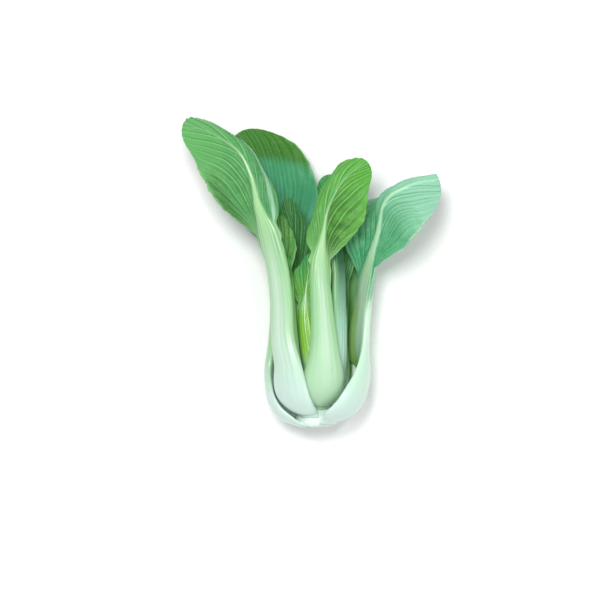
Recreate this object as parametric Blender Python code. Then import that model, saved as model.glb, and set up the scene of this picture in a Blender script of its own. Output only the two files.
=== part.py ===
"""One head of bok choy, lying on its back on a flat surface, in metres, +Z up.

The head's axis runs along +Y, from the cut end of the stem to the leaf tips. Every leaf is
a thick pale stalk, which narrows into the midrib, and a thin green blade set round the
midrib. Lengths in the tables are millimetres, measured from the head's axis.
"""

import math
from dataclasses import dataclass

import bmesh
import bpy
import numpy as np

MM = 0.001

# The head's place on the surface: its axis lies this high over it. The head's foot is moved
# so that the middle of the space that the whole head takes is at the origin.
AXIS_HEIGHT = 25.2
AXIS_X = 3.05
AXIS_Y = -92.8

# The short stem that carries every leaf, as (height along the axis, radius).
STEM_PROFILE = (
    (0.0, 9.8),
    (0.9, 11.3),
    (3.5, 11.6),
    (6.5, 11.0),
    (10.0, 9.0),
    (15.0, 6.4),
    (20.0, 4.0),
    (23.0, 2.2),
)
STEM_TOP = 24.0
STEM_SIDES = 24
STEM_LOBES = 5
STEM_LOBE_DEPTH = 0.03

# How the stalks leave the stem: they sweep out like nested bowls, round the axis, and
# then straighten into stalks of their own.
WIDEST_BULGE = 29.0
BOWL_SWEEP = 7.2
BOWL_TOP = 35.0
BOWL_KNOTS = 6
BOWL_CROWDING = 1.6
STEM_GAP = 1.5
ROUND_UNTIL = 26.0
FREE_FROM = 54.0

# Thickness of a stalk on its outer and inner side at full scale, against the distance
# along the leaf, up to the neck where the blade starts, and then against the share of
# the blade.
STALK_OUTER = ((0.0, 2.0), (8.0, 2.5), (20.0, 2.9), (45.0, 3.4), (75.0, 3.2))
STALK_INNER = ((0.0, 1.2), (8.0, 1.4), (20.0, 1.7), (45.0, 2.3), (75.0, 2.0))
RIB_SHARES = (0.0, 0.1, 0.2, 0.32, 0.55, 0.88)
RIB_WIDTHS = (1.0, 0.84, 0.5, 0.25, 0.13, 0.08)
RIB_OUTER = (3.0, 2.5, 1.9, 1.3, 0.85, 0.6)
RIB_INNER = (1.8, 1.4, 1.05, 0.75, 0.6, 0.5)
STALK_EDGE = 0.55

# A stalk wraps round the axis at its base, and is flatter than that by these shares from
# these distances along the leaf, the last of them past the neck.
WRAP_FROM = (30.0, 60.0)
WRAP_PAST_NECK = 10.0
WRAP_SHARES = (1.0, 0.8, 0.35)
SMALLEST_WRAP_RADIUS = 3.0

# The stations where a stalk's section is set, in millimetres along the leaf.
WIDTH_MARKS = (0.0, 7.0, 19.0, 36.0)
STALK_STATIONS = (0.0, 5.0, 10.0, 16.0, 23.0, 31.0, 40.0, 52.0)
UPPER_STEP = 25.0
STALK_SIDES = 12

# The blade's sheet: its thickness, its gap to the midrib, where its wings fold, its grid,
# its outline and the waves of its margins.
BLADE_THICKNESS = 0.9
RIB_GAP = 0.6
NARROWEST = 1.5
FOLD_START = 1.3
FOLD_SPAN = 4.0
BLADE_ROWS = 11
SLOT_ROWS = 9
RIB_END_GAP = 1.0
WING_COLUMNS = 4
ROW_CROWDING = 1.15
WIDEST_SHARE = 0.6
OPENING = 0.85
FULL_BEND_SHARE = 0.25
TIP_WIDTH = 0.66
RUFFLE_WAVES = 3.2
RUFFLE_SHIFT = 2.0
TABLE_GAP = 0.05

# Finishes.
STEM_COLOUR = "#e9f2da"
STEM_ROUGHNESS = 0.5
STALK_COLOUR = "#d2f0cd"
STALK_ROUGHNESS = 0.35
BLADE_ROUGHNESS = 0.45

# How finely the spine is followed, and how long the chords are that give its direction,
# from below the neck to above it.
SPINE_SAMPLES = 260
CHORD_SPREAD = (-12.0, 24.0)
CHORD_REACH = (0.8, 22.0)


@dataclass(frozen=True)
class Leaf:
    """One leaf of the head.

    azimuth is where it leaves the stem, in degrees round the axis: 0 is to the right and
    90 is up. start is how high on the stem it grows, and bulge is how far from the axis
    its stalk swells. path holds the middle of the leaf above that, as (right, along, up)
    from the axis. widths are the stalk's half widths at the stem, just above it, at the
    bulge, above the bulge and at the neck, and lean moves its middle sideways there.
    neck is how far along the leaf its blade starts. turns are the twist of the leaf about
    its own length, in degrees, as (share of blade, turn). half_widths, folds and curl are
    for the blade's two wings, the one on the side that faces round the axis first. A fold
    is held as (share of blade, degrees), and curl is the degrees that a whole wing bends
    by: positive closes it over its inner face. bow is how far the blade's rows bend back
    towards the margins at the tip, as a share of its length, and late is the share of the
    blade that each wing stays narrow for. tint is the blade's colour.
    """

    name: str
    azimuth: float
    start: float
    bulge: float
    path: tuple
    widths: tuple
    neck: float
    half_widths: tuple
    tint: str
    lean: tuple = (0.0, 0.0, 0.0, 0.0, 0.0)
    turns: tuple = ((0.0, 0.0), (1.0, 0.0))
    folds: tuple = (((0.0, 0.0), (1.0, 0.0)), ((0.0, 0.0), (1.0, 0.0)))
    curl: tuple = (30.0, 30.0)
    bow: float = 0.24
    late: tuple = (0.0, 0.0)
    ruffle: float = 1.2
    phase: float = 0.0
    thickness: float = 1.0


LEAVES = (
    Leaf(
        name="left_front",
        azimuth=128.0,
        start=8.5,
        bulge=28.2,
        path=(
            (-20.0, 52.0, 21.0),
            (-20.7, 74.0, 21.5),
            (-23.8, 99.0, 23.5),
            (-28.4, 116.0, 26.5),
            (-34.6, 133.0, 29.5),
            (-38.7, 150.0, 31.0),
            (-45.2, 163.0, 30.0),
            (-57.0, 172.3, 25.0),
            (-79.0, 181.8, 14.0),
        ),
        widths=(6.0, 9.5, 12.5, 10.0, 7.6),
        lean=(-3.0, -2.0, 0.0, 0.0, 0.0),
        neck=106.0,
        half_widths=(27.0, 24.5),
        tint="#5fb469",
        turns=((0.0, 0.0), (0.4, -32.0), (1.0, -38.0)),
        folds=(((0.0, -4.0), (1.0, -4.0)), ((0.0, 48.0), (0.35, 68.0), (0.55, 76.0), (1.0, 58.0))),
        curl=(12.0, 46.0),
        bow=0.18,
        late=(0.0, 0.07),
        ruffle=1.4,
    ),
    Leaf(
        name="right",
        azimuth=14.0,
        start=5.0,
        bulge=29.8,
        path=(
            (28.2, 52.0, 4.0),
            (28.9, 74.0, 3.0),
            (30.7, 90.0, 4.0),
            (33.8, 104.0, 6.0),
            (37.2, 116.0, 9.0),
            (38.6, 124.5, 11.6),
            (39.8, 131.5, 14.0),
            (44.0, 138.0, 16.5),
            (52.5, 143.0, 17.5),
            (61.5, 146.2, 16.2),
            (73.5, 148.0, 12.5),
        ),
        widths=(10.0, 14.5, 17.0, 16.5, 9.6),
        lean=(3.5, 6.5, 4.5, -3.8, 0.0),
        neck=80.0,
        half_widths=(30.0, 26.0),
        tint="#7dcda5",
        bow=0.1,
        late=(0.15, 0.0),
        turns=((-0.6, -8.0), (-0.24, -28.0), (0.0, -36.0), (0.12, -42.0), (0.42, -66.0), (1.0, -78.0)),
        folds=(
            ((0.0, 4.0), (1.0, 4.0)),
            ((0.0, 52.0), (0.15, 52.0), (0.28, 42.0), (0.42, 8.0), (0.6, -65.0), (0.75, -92.0), (1.0, -92.0)),
        ),
        curl=(14.0, -10.0),
        ruffle=1.4,
        phase=1.1,
    ),
    Leaf(
        name="under_right",
        azimuth=300.0,
        start=5.8,
        bulge=27.6,
        path=(
            (15.0, 52.0, -22.0),
            (16.0, 80.0, -21.4),
            (17.0, 100.0, -22.2),
            (16.5, 120.0, -23.2),
            (12.0, 138.0, -23.8),
            (6.0, 152.0, -22.5),
        ),
        widths=(6.8, 11.0, 13.0, 10.5, 9.0),
        lean=(0.0, 0.0, -0.8, -2.5, 0.0),
        neck=88.0,
        half_widths=(20.0, 20.0),
        tint="#46965a",
        turns=((-0.6, 0.0), (0.0, -22.0), (1.0, -30.0)),
        curl=(12.0, 12.0),
        ruffle=1.0,
        phase=2.0,
    ),
    Leaf(
        name="left_back",
        azimuth=205.0,
        start=3.0,
        bulge=28.2,
        path=(
            (-23.0, 52.0, -8.5),
            (-21.0, 80.0, -9.5),
            (-20.5, 105.0, -12.5),
            (-22.0, 125.0, -15.5),
            (-27.5, 145.0, -14.5),
            (-35.5, 162.0, -11.0),
            (-47.5, 176.5, -8.0),
        ),
        widths=(12.0, 16.5, 17.0, 11.0, 8.5),
        lean=(-4.0, -5.5, -4.0, -3.0, 0.0),
        neck=100.0,
        half_widths=(27.5, 27.5),
        tint="#3c8c5a",
        turns=((-0.6, 0.0), (0.0, 30.0), (0.4, 62.0), (1.0, 65.0)),
        curl=(24.0, 16.0),
        bow=0.15,
        ruffle=1.3,
        phase=0.4,
    ),
    Leaf(
        name="centre_front",
        azimuth=76.0,
        start=13.4,
        bulge=22.6,
        path=(
            (4.8, 52.0, 22.0),
            (3.2, 74.0, 23.0),
            (2.0, 99.0, 24.0),
            (4.4, 117.0, 26.5),
            (6.6, 129.0, 29.0),
            (11.0, 139.0, 31.0),
            (18.3, 149.5, 32.0),
            (30.8, 157.5, 29.5),
        ),
        widths=(6.5, 12.0, 13.6, 9.7, 5.7),
        neck=86.0,
        half_widths=(20.5, 22.5),
        tint="#5fa53c",
        turns=((0.0, 0.0), (0.3, 8.0), (1.0, 8.0)),
        folds=(((0.0, 24.0), (0.2, 52.0), (1.0, 62.0)), ((0.0, 0.0), (1.0, 0.0))),
        curl=(80.0, 8.0),
        bow=0.17,
        late=(0.08, 0.0),
        ruffle=1.2,
        phase=2.6,
    ),
    Leaf(
        name="under_left",
        azimuth=250.0,
        start=11.0,
        bulge=21.8,
        path=(
            (-7.5, 52.0, -20.3),
            (-11.0, 80.0, -21.5),
            (-16.0, 100.0, -22.2),
            (-20.0, 120.0, -23.3),
            (-24.0, 138.0, -23.8),
            (-28.0, 152.0, -22.8),
        ),
        widths=(6.5, 10.5, 12.5, 10.0, 7.0),
        neck=82.0,
        half_widths=(15.5, 15.5),
        tint="#46965a",
        turns=((-0.6, 0.0), (0.0, 14.0), (1.0, 18.0)),
        curl=(14.0, 14.0),
        ruffle=0.8,
        phase=3.0,
    ),
    Leaf(
        name="inner_right",
        azimuth=330.0,
        start=14.5,
        bulge=18.6,
        path=(
            (14.3, 52.0, -9.3),
            (14.8, 70.0, -9.5),
            (15.5, 90.0, -10.5),
            (16.5, 110.0, -11.5),
            (19.0, 130.0, -11.0),
            (22.0, 145.0, -9.5),
        ),
        widths=(5.0, 8.0, 9.5, 7.0, 5.0),
        neck=62.0,
        half_widths=(9.0, 13.0),
        tint="#3c7846",
        turns=((-0.6, 0.0), (-0.35, -10.0), (0.1, -28.0), (1.0, -50.0)),
        curl=(24.0, 24.0),
        ruffle=0.9,
        thickness=0.85,
    ),
    Leaf(
        name="inner_front",
        azimuth=34.0,
        start=17.8,
        bulge=17.0,
        path=(
            (14.2, 52.0, 9.5),
            (13.8, 74.0, 10.0),
            (13.4, 95.0, 9.5),
            (12.0, 112.0, 8.6),
            (11.2, 126.0, 7.0),
        ),
        widths=(4.0, 7.5, 9.5, 7.6, 5.2),
        neck=90.0,
        half_widths=(10.5, 8.4),
        tint="#50a082",
        turns=((0.0, 0.0), (0.5, 10.0), (1.0, 10.0)),
        curl=(24.0, 24.0),
        ruffle=0.7,
        thickness=0.8,
    ),
    Leaf(
        name="inner_left",
        azimuth=152.0,
        start=17.8,
        bulge=16.0,
        path=(
            (-14.6, 52.0, 7.8),
            (-16.0, 80.0, 9.5),
            (-18.5, 105.0, 10.5),
            (-21.0, 127.0, 11.0),
        ),
        widths=(4.0, 6.5, 8.0, 6.0, 4.2),
        neck=74.0,
        half_widths=(9.0, 9.0),
        tint="#64b446",
        turns=((0.0, 0.0), (0.5, -20.0), (1.0, -24.0)),
        curl=(30.0, 30.0),
        ruffle=0.6,
        thickness=0.7,
    ),
    Leaf(
        name="heart_back",
        azimuth=235.0,
        start=19.5,
        bulge=12.5,
        path=(
            (-8.0, 52.0, -7.5),
            (-10.0, 80.0, -4.5),
            (-12.0, 105.0, -1.5),
            (-15.0, 125.0, 0.5),
            (-17.5, 138.0, 0.5),
        ),
        widths=(3.5, 5.5, 7.0, 5.5, 4.2),
        neck=70.0,
        half_widths=(11.0, 11.0),
        tint="#468c3c",
        turns=((0.0, 0.0), (0.5, 24.0), (1.0, 30.0)),
        curl=(36.0, 36.0),
        ruffle=0.8,
        thickness=0.7,
    ),
    Leaf(
        name="heart_front",
        azimuth=100.0,
        start=21.5,
        bulge=11.0,
        path=(
            (-5.0, 50.0, 10.0),
            (-6.8, 68.0, 9.5),
            (-5.5, 86.0, 8.5),
            (-3.0, 104.0, 8.0),
        ),
        widths=(2.6, 4.5, 6.0, 5.0, 3.8),
        neck=50.0,
        half_widths=(9.0, 9.0),
        tint="#82c332",
        turns=((0.0, 0.0), (1.0, -10.0)),
        curl=(40.0, 40.0),
        ruffle=0.6,
        thickness=0.65,
    ),
    Leaf(
        name="heart_bud",
        azimuth=330.0,
        start=22.5,
        bulge=6.0,
        path=(
            (4.5, 46.0, -2.5),
            (3.0, 66.0, -2.0),
            (1.5, 84.0, -2.0),
            (1.0, 98.0, -1.5),
        ),
        widths=(2.0, 3.0, 4.2, 4.2, 3.2),
        neck=42.0,
        half_widths=(8.2, 8.2),
        tint="#96cd3c",
        curl=(50.0, 50.0),
        ruffle=0.5,
        thickness=0.55,
    ),
)


def through(knots, values, at):
    """A smooth curve through keyed values: cubic pieces with slopes from the neighbours."""
    knots = np.asarray(knots, float)
    values = np.asarray(values, float).reshape(len(knots), -1)
    at = np.clip(np.atleast_1d(np.asarray(at, float)), knots[0], knots[-1])
    slopes = np.gradient(values, knots, axis=0)
    piece = np.clip(np.searchsorted(knots, at, side="right") - 1, 0, len(knots) - 2)
    step = (knots[piece + 1] - knots[piece])[:, None]
    t = (at - knots[piece])[:, None] / step
    return (
        (2 * t**3 - 3 * t**2 + 1) * values[piece]
        + (t**3 - 2 * t**2 + t) * step * slopes[piece]
        + (3 * t**2 - 2 * t**3) * values[piece + 1]
        + (t**3 - t**2) * step * slopes[piece + 1]
    )


def stem_radius(height):
    """The stem's radius at a height along the axis."""
    heights, radii = zip(*STEM_PROFILE)
    return float(np.interp(height, heights, radii))


def arc(heading, curvature, length):
    """How far an arc goes sideways and inward, from a starting heading in radians."""
    if abs(curvature) < 1e-6:
        return length * math.cos(heading), length * math.sin(heading)
    end = heading + curvature * length
    sideways = (math.sin(end) - math.sin(heading)) / curvature
    inward = (math.cos(heading) - math.cos(end)) / curvature
    return sideways, inward


class LeafForm:
    """The surface that a leaf's stalk and blade are built on."""

    def __init__(self, leaf):
        self.leaf = leaf
        turn = math.radians(leaf.azimuth)
        self.radial = np.array([math.cos(turn), 0.0, math.sin(turn)])
        points = self.spine_points()
        steps = np.linalg.norm(np.diff(points, axis=0), axis=1)
        self.along = np.concatenate([[0.0], np.cumsum(steps)])
        self.length = self.along[-1]
        self.blade = self.length - leaf.neck
        self.points = points
        self.tangents = self.lengthwise()
        self.outwards = self.carried_outwards()

    def spine_points(self):
        """The spine: the bowl out from the stem, and then the leaf's own path."""
        leaf = self.leaf
        first = stem_radius(leaf.start) + STEM_GAP
        sweep = BOWL_SWEEP * math.sqrt(leaf.bulge / WIDEST_BULGE)
        rises = np.linspace(0.0, 1.0, BOWL_KNOTS) ** BOWL_CROWDING * (BOWL_TOP - leaf.start)
        radii = first + (leaf.bulge - first) * (1.0 - np.exp(-rises / sweep))
        knots = [
            self.radial * radius + np.array([0.0, leaf.start + rise, 0.0])
            for radius, rise in zip(radii, rises)
        ]
        knots += [np.array(point, float) for point in leaf.path]
        knots = np.array(knots)
        spans = np.linalg.norm(np.diff(knots, axis=0), axis=1)
        marks = np.concatenate([[0.0], np.cumsum(spans)])
        return through(marks, knots, np.linspace(0.0, marks[-1], SPINE_SAMPLES))

    def lengthwise(self):
        """The leaf's direction along the spine: a chord's, which is long on the blade.

        The long chords keep the rows of a blade apart on the inside of a bend.
        """
        spread = [self.leaf.neck + step for step in CHORD_SPREAD]
        reach = np.interp(self.along, spread, CHORD_REACH)
        ahead = [np.interp(self.along + reach, self.along, c) for c in self.points.T]
        behind = [np.interp(self.along - reach, self.along, c) for c in self.points.T]
        chords = np.array(ahead).T - np.array(behind).T
        return chords / np.linalg.norm(chords, axis=1)[:, None]

    def carried_outwards(self):
        """The outward direction carried along the spine, with the leaf's own twist."""
        carried = [self.radial - self.tangents[0] * (self.radial @ self.tangents[0])]
        for tangent in self.tangents[1:]:
            last = carried[-1]
            carried.append(last - tangent * (last @ tangent))
        carried = np.array(carried)
        carried /= np.linalg.norm(carried, axis=1)[:, None]
        shares = (self.along - self.leaf.neck) / self.blade
        marks, turns = zip(*self.leaf.turns)
        turned = np.radians(through(marks, turns, shares)[:, 0])[:, None]
        side = np.cross(carried, self.tangents)
        return carried * np.cos(turned) + side * np.sin(turned)

    def frame(self, along):
        """The spine's point, outward and sideways directions at a distance along it."""
        point = np.array([np.interp(along, self.along, c) for c in self.points.T])
        tangent = np.array([np.interp(along, self.along, c) for c in self.tangents.T])
        outward = np.array([np.interp(along, self.along, c) for c in self.outwards.T])
        tangent /= np.linalg.norm(tangent)
        outward -= tangent * (outward @ tangent)
        outward /= np.linalg.norm(outward)
        return point, outward, np.cross(outward, tangent)

    def share(self, along):
        """How far up the blade a distance along the leaf is, 0 at the neck and 1 at the tip."""
        return (along - self.leaf.neck) / self.blade

    def stalk_half_width(self, along):
        """The half width of the stalk, and of the midrib above the neck."""
        leaf = self.leaf
        if along <= leaf.neck:
            marks = (*WIDTH_MARKS, leaf.neck)
            return float(through(marks, leaf.widths, along)[0, 0])
        narrowed = np.interp(self.share(along), RIB_SHARES, RIB_WIDTHS)
        return leaf.widths[-1] * float(narrowed)

    def stalk_lean(self, along):
        """How far sideways the middle of the stalk is from the spine."""
        marks = (*WIDTH_MARKS, self.leaf.neck)
        return float(through(marks, self.leaf.lean, along)[0, 0])

    def stalk_depths(self, along):
        """How far the stalk stands out on its outer and its inner side."""
        scale = self.leaf.thickness
        if along <= self.leaf.neck:
            outer = np.interp(along, *zip(*STALK_OUTER))
            inner = np.interp(along, *zip(*STALK_INNER))
        else:
            outer = np.interp(self.share(along), RIB_SHARES, RIB_OUTER)
            inner = np.interp(self.share(along), RIB_SHARES, RIB_INNER)
        return float(outer) * scale, float(inner) * scale

    def stalk_curvature(self, along):
        """The stalk wraps round the axis at its base and flattens towards the blade."""
        point, _, _ = self.frame(along)
        radius = math.hypot(point[0], point[2])
        marks = (*WRAP_FROM, self.leaf.neck + WRAP_PAST_NECK)
        share = float(np.interp(along, marks, WRAP_SHARES))
        return share / max(radius, SMALLEST_WRAP_RADIUS)

    def blade_half_width(self, share, which):
        """A wing's width from the spine, widest past its middle and blunt at the tip."""
        late = self.leaf.late[which]
        share = min(max((share - late) / (1.0 - late), 0.0), 1.0)
        widest = self.leaf.half_widths[which]
        if share < WIDEST_SHARE:
            return widest * math.sin(math.pi / 2 * share / WIDEST_SHARE) ** OPENING
        past = (share - WIDEST_SHARE) / (1.0 - WIDEST_SHARE)
        return widest * (1.0 - (1.0 - TIP_WIDTH) * past**2)

    def free_surface(self, along, across):
        """The surface of a leaf that stands free: arcs across it, with folds and waves."""
        leaf = self.leaf
        point, outward, side = self.frame(along)
        sign = 1.0 if across >= 0 else -1.0
        which = 0 if across >= 0 else 1
        distance = abs(across)
        curvature = self.stalk_curvature(along)
        rib = self.stalk_half_width(along) + sign * self.stalk_lean(along)
        inside = min(distance, rib)
        sideways, inward = arc(0.0, curvature, inside)
        heading = curvature * inside
        past = distance - rib
        wave = 0.0
        if past > 0.0:
            share = min(max(self.share(along), 0.0), 1.0)
            ease = min(1.0, share / FULL_BEND_SHARE)
            marks, folds = zip(*leaf.folds[which])
            fold = math.radians(float(through(marks, folds, share)[0, 0])) * ease
            bend = math.radians(leaf.curl[which]) / leaf.half_widths[which] * ease
            left = past
            bends = ((FOLD_START, 0.0), (FOLD_SPAN, fold / FOLD_SPAN), (past, bend))
            for span, curved in bends:
                length = min(left, span)
                more = arc(heading, curved, length)
                sideways += more[0]
                inward += more[1]
                heading += curved * length
                left -= length
            turn = 2 * math.pi * RUFFLE_WAVES * share + leaf.phase + which * RUFFLE_SHIFT
            wave = leaf.ruffle * ease * math.sin(turn) * (past / leaf.half_widths[which]) ** 2
        normal = outward * math.cos(heading) + side * sign * math.sin(heading)
        place = point + side * sign * sideways - outward * inward + normal * wave
        return place, normal

    def round_surface(self, along, across):
        """The surface near the stem: the spine turned about the head's axis."""
        point, outward, _ = self.frame(along)
        turn = -across / max(math.hypot(point[0], point[2]), 1.0)
        spin = np.array(
            (
                (math.cos(turn), 0.0, math.sin(turn)),
                (0.0, 1.0, 0.0),
                (-math.sin(turn), 0.0, math.cos(turn)),
            )
        )
        return spin @ point, spin @ outward

    def surface(self, along, across):
        """A point of the leaf's middle surface and the outward normal there.

        across is in millimetres from the spine, positive on the side that faces round
        the axis. The leaf is a part of a turned bowl near the stem, and then stands free.
        """
        free = np.clip((along - ROUND_UNTIL) / (FREE_FROM - ROUND_UNTIL), 0.0, 1.0)
        if free == 0.0:
            return self.round_surface(along, across)
        place, normal = self.free_surface(along, across)
        if free < 1.0:
            free = free * free * (3.0 - 2.0 * free)
            round_place, round_normal = self.round_surface(along, across)
            place = place * free + round_place * (1.0 - free)
            normal = normal * free + round_normal * (1.0 - free)
            normal /= np.linalg.norm(normal)
        return place, normal


def placed(point, lowest=0.0):
    """A point of the head as it lies on the surface, in metres, never under it."""
    x, y, z = point
    z = max(z + AXIS_HEIGHT, lowest)
    return ((x + AXIS_X) * MM, (y + AXIS_Y) * MM, z * MM)


def linear(code):
    """A colour code's three shares, as the shader takes them."""
    shares = [int(code[place : place + 2], 16) / 255 for place in (1, 3, 5)]
    return [c / 12.92 if c <= 0.04045 else ((c + 0.055) / 1.055) ** 2.4 for c in shares]


def material(name, colour, roughness):
    """A plain finish of one colour."""
    made = bpy.data.materials.new(name)
    made.use_nodes = True
    shader = made.node_tree.nodes["Principled BSDF"]
    shader.inputs["Base Color"].default_value = (*linear(colour), 1.0)
    shader.inputs["Roughness"].default_value = roughness
    shader.inputs["Metallic"].default_value = 0.0
    return made


def add_object(name, shape, colour, roughness):
    """Puts a finished mesh into the scene as one named sub-part."""
    mesh = bpy.data.meshes.new(name)
    shape.to_mesh(mesh)
    shape.free()
    mesh.materials.append(material(f"{name} finish", colour, roughness))
    mesh.shade_smooth()
    made = bpy.data.objects.new(name, mesh)
    bpy.context.scene.collection.objects.link(made)
    return made


def build_stem():
    """The short stem: a turned cone with shallow lobes and a flat cut end."""
    shape = bmesh.new()
    axis = placed((0.0, 0.0, 0.0))
    outline = [shape.verts.new(placed((radius, height, 0.0))) for height, radius in STEM_PROFILE]
    for lower, upper in zip(outline, outline[1:]):
        shape.edges.new((lower, upper))
    bmesh.ops.spin(
        shape,
        geom=list(shape.verts) + list(shape.edges),
        cent=axis,
        axis=(0.0, 1.0, 0.0),
        angle=2 * math.pi,
        steps=STEM_SIDES,
        use_merge=True,
    )
    bmesh.ops.remove_doubles(shape, verts=shape.verts, dist=1e-6)
    rims = [edge for edge in shape.edges if edge.is_boundary]
    bmesh.ops.holes_fill(shape, edges=rims, sides=STEM_SIDES)
    caps = [face for face in shape.faces if len(face.verts) == STEM_SIDES]
    top = max(caps, key=lambda face: face.calc_center_median().y)
    point = bmesh.ops.poke(shape, faces=[top])["verts"][0]
    point.co.y = (STEM_TOP + AXIS_Y) * MM
    for corner in shape.verts:
        x, z = corner.co.x - axis[0], corner.co.z - axis[2]
        lobes = 1.0 - STEM_LOBE_DEPTH * (1.0 + math.cos(STEM_LOBES * math.atan2(z, x))) / 2
        corner.co.x = axis[0] + x * lobes
        corner.co.z = axis[2] + z * lobes
    bmesh.ops.triangulate(shape, faces=shape.faces)
    bmesh.ops.recalc_face_normals(shape, faces=shape.faces)
    return add_object("stem_base", shape, STEM_COLOUR, STEM_ROUGHNESS)


def stalk_ring(form, along):
    """The stalk's section at a distance along it: its outer side, then its inner side."""
    half = STALK_SIDES // 2
    width = form.stalk_half_width(along)
    outer, inner = form.stalk_depths(along)
    ring = []
    for index in range(STALK_SIDES):
        is_outer = index < half
        step = index if is_outer else STALK_SIDES - 1 - index
        u = -math.cos(math.pi * step / (half - 1))
        place, normal = form.surface(along, form.stalk_lean(along) + u * width)
        swell = math.sqrt(max(0.0, 1.0 - u * u))
        edge = min(STALK_EDGE, 0.5 * width)
        depth = edge + (outer * swell if is_outer else inner * swell)
        offset = normal * (depth if is_outer else -depth)
        ring.append(placed(place + offset, 0.0 if is_outer else edge))
    return ring


def build_stalk(form):
    """The stalk and midrib of a leaf, extruded ring by ring from its foot."""
    leaf = form.leaf
    lower = [mark for mark in STALK_STATIONS if mark < leaf.neck - UPPER_STEP / 2]
    upper_steps = 2 + int((leaf.neck - lower[-1]) / UPPER_STEP)
    upper = np.linspace(lower[-1], leaf.neck, upper_steps + 1)[1:]
    rib = [leaf.neck + form.blade * row_share(row) for row in range(1, SLOT_ROWS + 1)]
    rib[-1] -= RIB_END_GAP
    shape = bmesh.new()
    bmesh.ops.create_circle(shape, cap_ends=True, segments=STALK_SIDES, radius=0.01)
    loop = list(shape.verts)
    for corner, place in zip(loop, stalk_ring(form, 0.0)):
        corner.co = place
    for along in [*lower[1:], *upper, *rib]:
        edges = [
            edge
            for edge in shape.edges
            if edge.verts[0] in loop and edge.verts[1] in loop
        ]
        grown = bmesh.ops.extrude_edge_only(shape, edges=edges)["geom"]
        fresh = [item for item in grown if isinstance(item, bmesh.types.BMVert)]
        above = {}
        for corner in fresh:
            for edge in corner.link_edges:
                other = edge.other_vert(corner)
                if other in loop:
                    above[other] = corner
        loop = [above[corner] for corner in loop]
        for corner, place in zip(loop, stalk_ring(form, float(along))):
            corner.co = place
    shape.faces.new(loop)
    bmesh.ops.triangulate(shape, faces=shape.faces)
    bmesh.ops.recalc_face_normals(shape, faces=shape.faces)
    return add_object(f"leaf_{leaf.name}_stalk", shape, STALK_COLOUR, STALK_ROUGHNESS)


def build_blade(form):
    """The blade of a leaf: a curved sheet with a slot that the midrib lies in."""
    leaf = form.leaf
    rows, columns = BLADE_ROWS, 2 * WING_COLUMNS + 1
    shape = bmesh.new()
    bmesh.ops.create_grid(shape, x_segments=columns, y_segments=rows, size=0.5)
    slot = []
    for face in shape.faces:
        middle = face.calc_center_median()
        if abs(middle.x) < 0.25 / columns and (middle.y + 0.5) * rows < SLOT_ROWS:
            slot.append(face)
    places = {}
    for corner in shape.verts:
        row = round((corner.co.y + 0.5) * rows)
        column = round((corner.co.x + 0.5) * columns)
        places[corner] = blade_place(form, row, column)
    bmesh.ops.delete(shape, geom=slot, context="FACES")
    for corner, place in places.items():
        if corner.is_valid:
            corner.co = place
    bmesh.ops.triangulate(shape, faces=shape.faces)
    bmesh.ops.recalc_face_normals(shape, faces=shape.faces)
    made = add_object(f"leaf_{leaf.name}_blade", shape, leaf.tint, BLADE_ROUGHNESS)
    wall = made.modifiers.new("Blade thickness", "SOLIDIFY")
    wall.thickness = BLADE_THICKNESS * MM
    wall.offset = 0.0
    wall.use_even_offset = False
    return made


def row_share(row):
    """The share of the blade at a row: closer rows towards the tip."""
    t = row / BLADE_ROWS
    return 1.0 - (1.0 - t) ** ROW_CROWDING


def blade_place(form, row, column):
    """Where a corner of the blade's grid goes."""
    share = row_share(row)
    steps = column - WING_COLUMNS
    which = 0 if column > WING_COLUMNS else 1
    out = (-steps if which else steps - 1) / WING_COLUMNS
    along = form.leaf.neck + form.blade * share
    slot_half = form.stalk_half_width(along) + RIB_GAP
    width = max(form.blade_half_width(share, which), slot_half + NARROWEST)
    across = slot_half + (width - slot_half) * out
    along -= form.leaf.bow * share**2 * form.blade * out**2
    across = max(across, form.stalk_half_width(along) + RIB_GAP + NARROWEST * out)
    place, _ = form.surface(along, -across if which else across)
    return placed(place, BLADE_THICKNESS / 2 + TABLE_GAP)


def main():
    """Builds the whole head."""
    for old in list(bpy.data.objects):
        bpy.data.objects.remove(old)
    build_stem()
    for leaf in LEAVES:
        form = LeafForm(leaf)
        build_stalk(form)
        build_blade(form)


main()
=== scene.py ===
"""The finished look of one head of bok choy, lying on its back on a white surface.

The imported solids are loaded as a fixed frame. Each leaf is then grown again, on the same
surface as its two solids, as one fine skin from its foot in the stem to its tip: a thick
juicy stalk, the midrib that it narrows into, and a thin blade with raised side veins and
a waved margin. The short stem gets its leaf scars and its cut end.

Lengths in the tables are millimetres, measured from the head's own axis, which runs along
+Y from the cut end to the leaf tips.
"""

import logging
import math
from dataclasses import dataclass, field
from enum import Enum

import bmesh
import bpy
import numpy as np
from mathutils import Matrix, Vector


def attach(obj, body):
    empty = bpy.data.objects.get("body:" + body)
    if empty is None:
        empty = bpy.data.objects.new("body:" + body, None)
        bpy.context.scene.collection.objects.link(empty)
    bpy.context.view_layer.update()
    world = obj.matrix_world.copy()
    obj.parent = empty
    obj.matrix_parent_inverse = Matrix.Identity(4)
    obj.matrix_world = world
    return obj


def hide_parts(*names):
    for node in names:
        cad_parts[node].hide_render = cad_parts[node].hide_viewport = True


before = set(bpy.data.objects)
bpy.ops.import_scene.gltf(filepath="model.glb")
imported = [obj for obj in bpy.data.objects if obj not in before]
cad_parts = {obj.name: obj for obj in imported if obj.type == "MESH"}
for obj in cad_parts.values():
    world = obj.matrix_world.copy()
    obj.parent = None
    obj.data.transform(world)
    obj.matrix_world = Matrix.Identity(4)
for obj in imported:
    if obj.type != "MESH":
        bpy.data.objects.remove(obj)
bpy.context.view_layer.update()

logging.basicConfig(level=logging.INFO, format="%(message)s")
LOG = logging.getLogger("bok choy")

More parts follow.
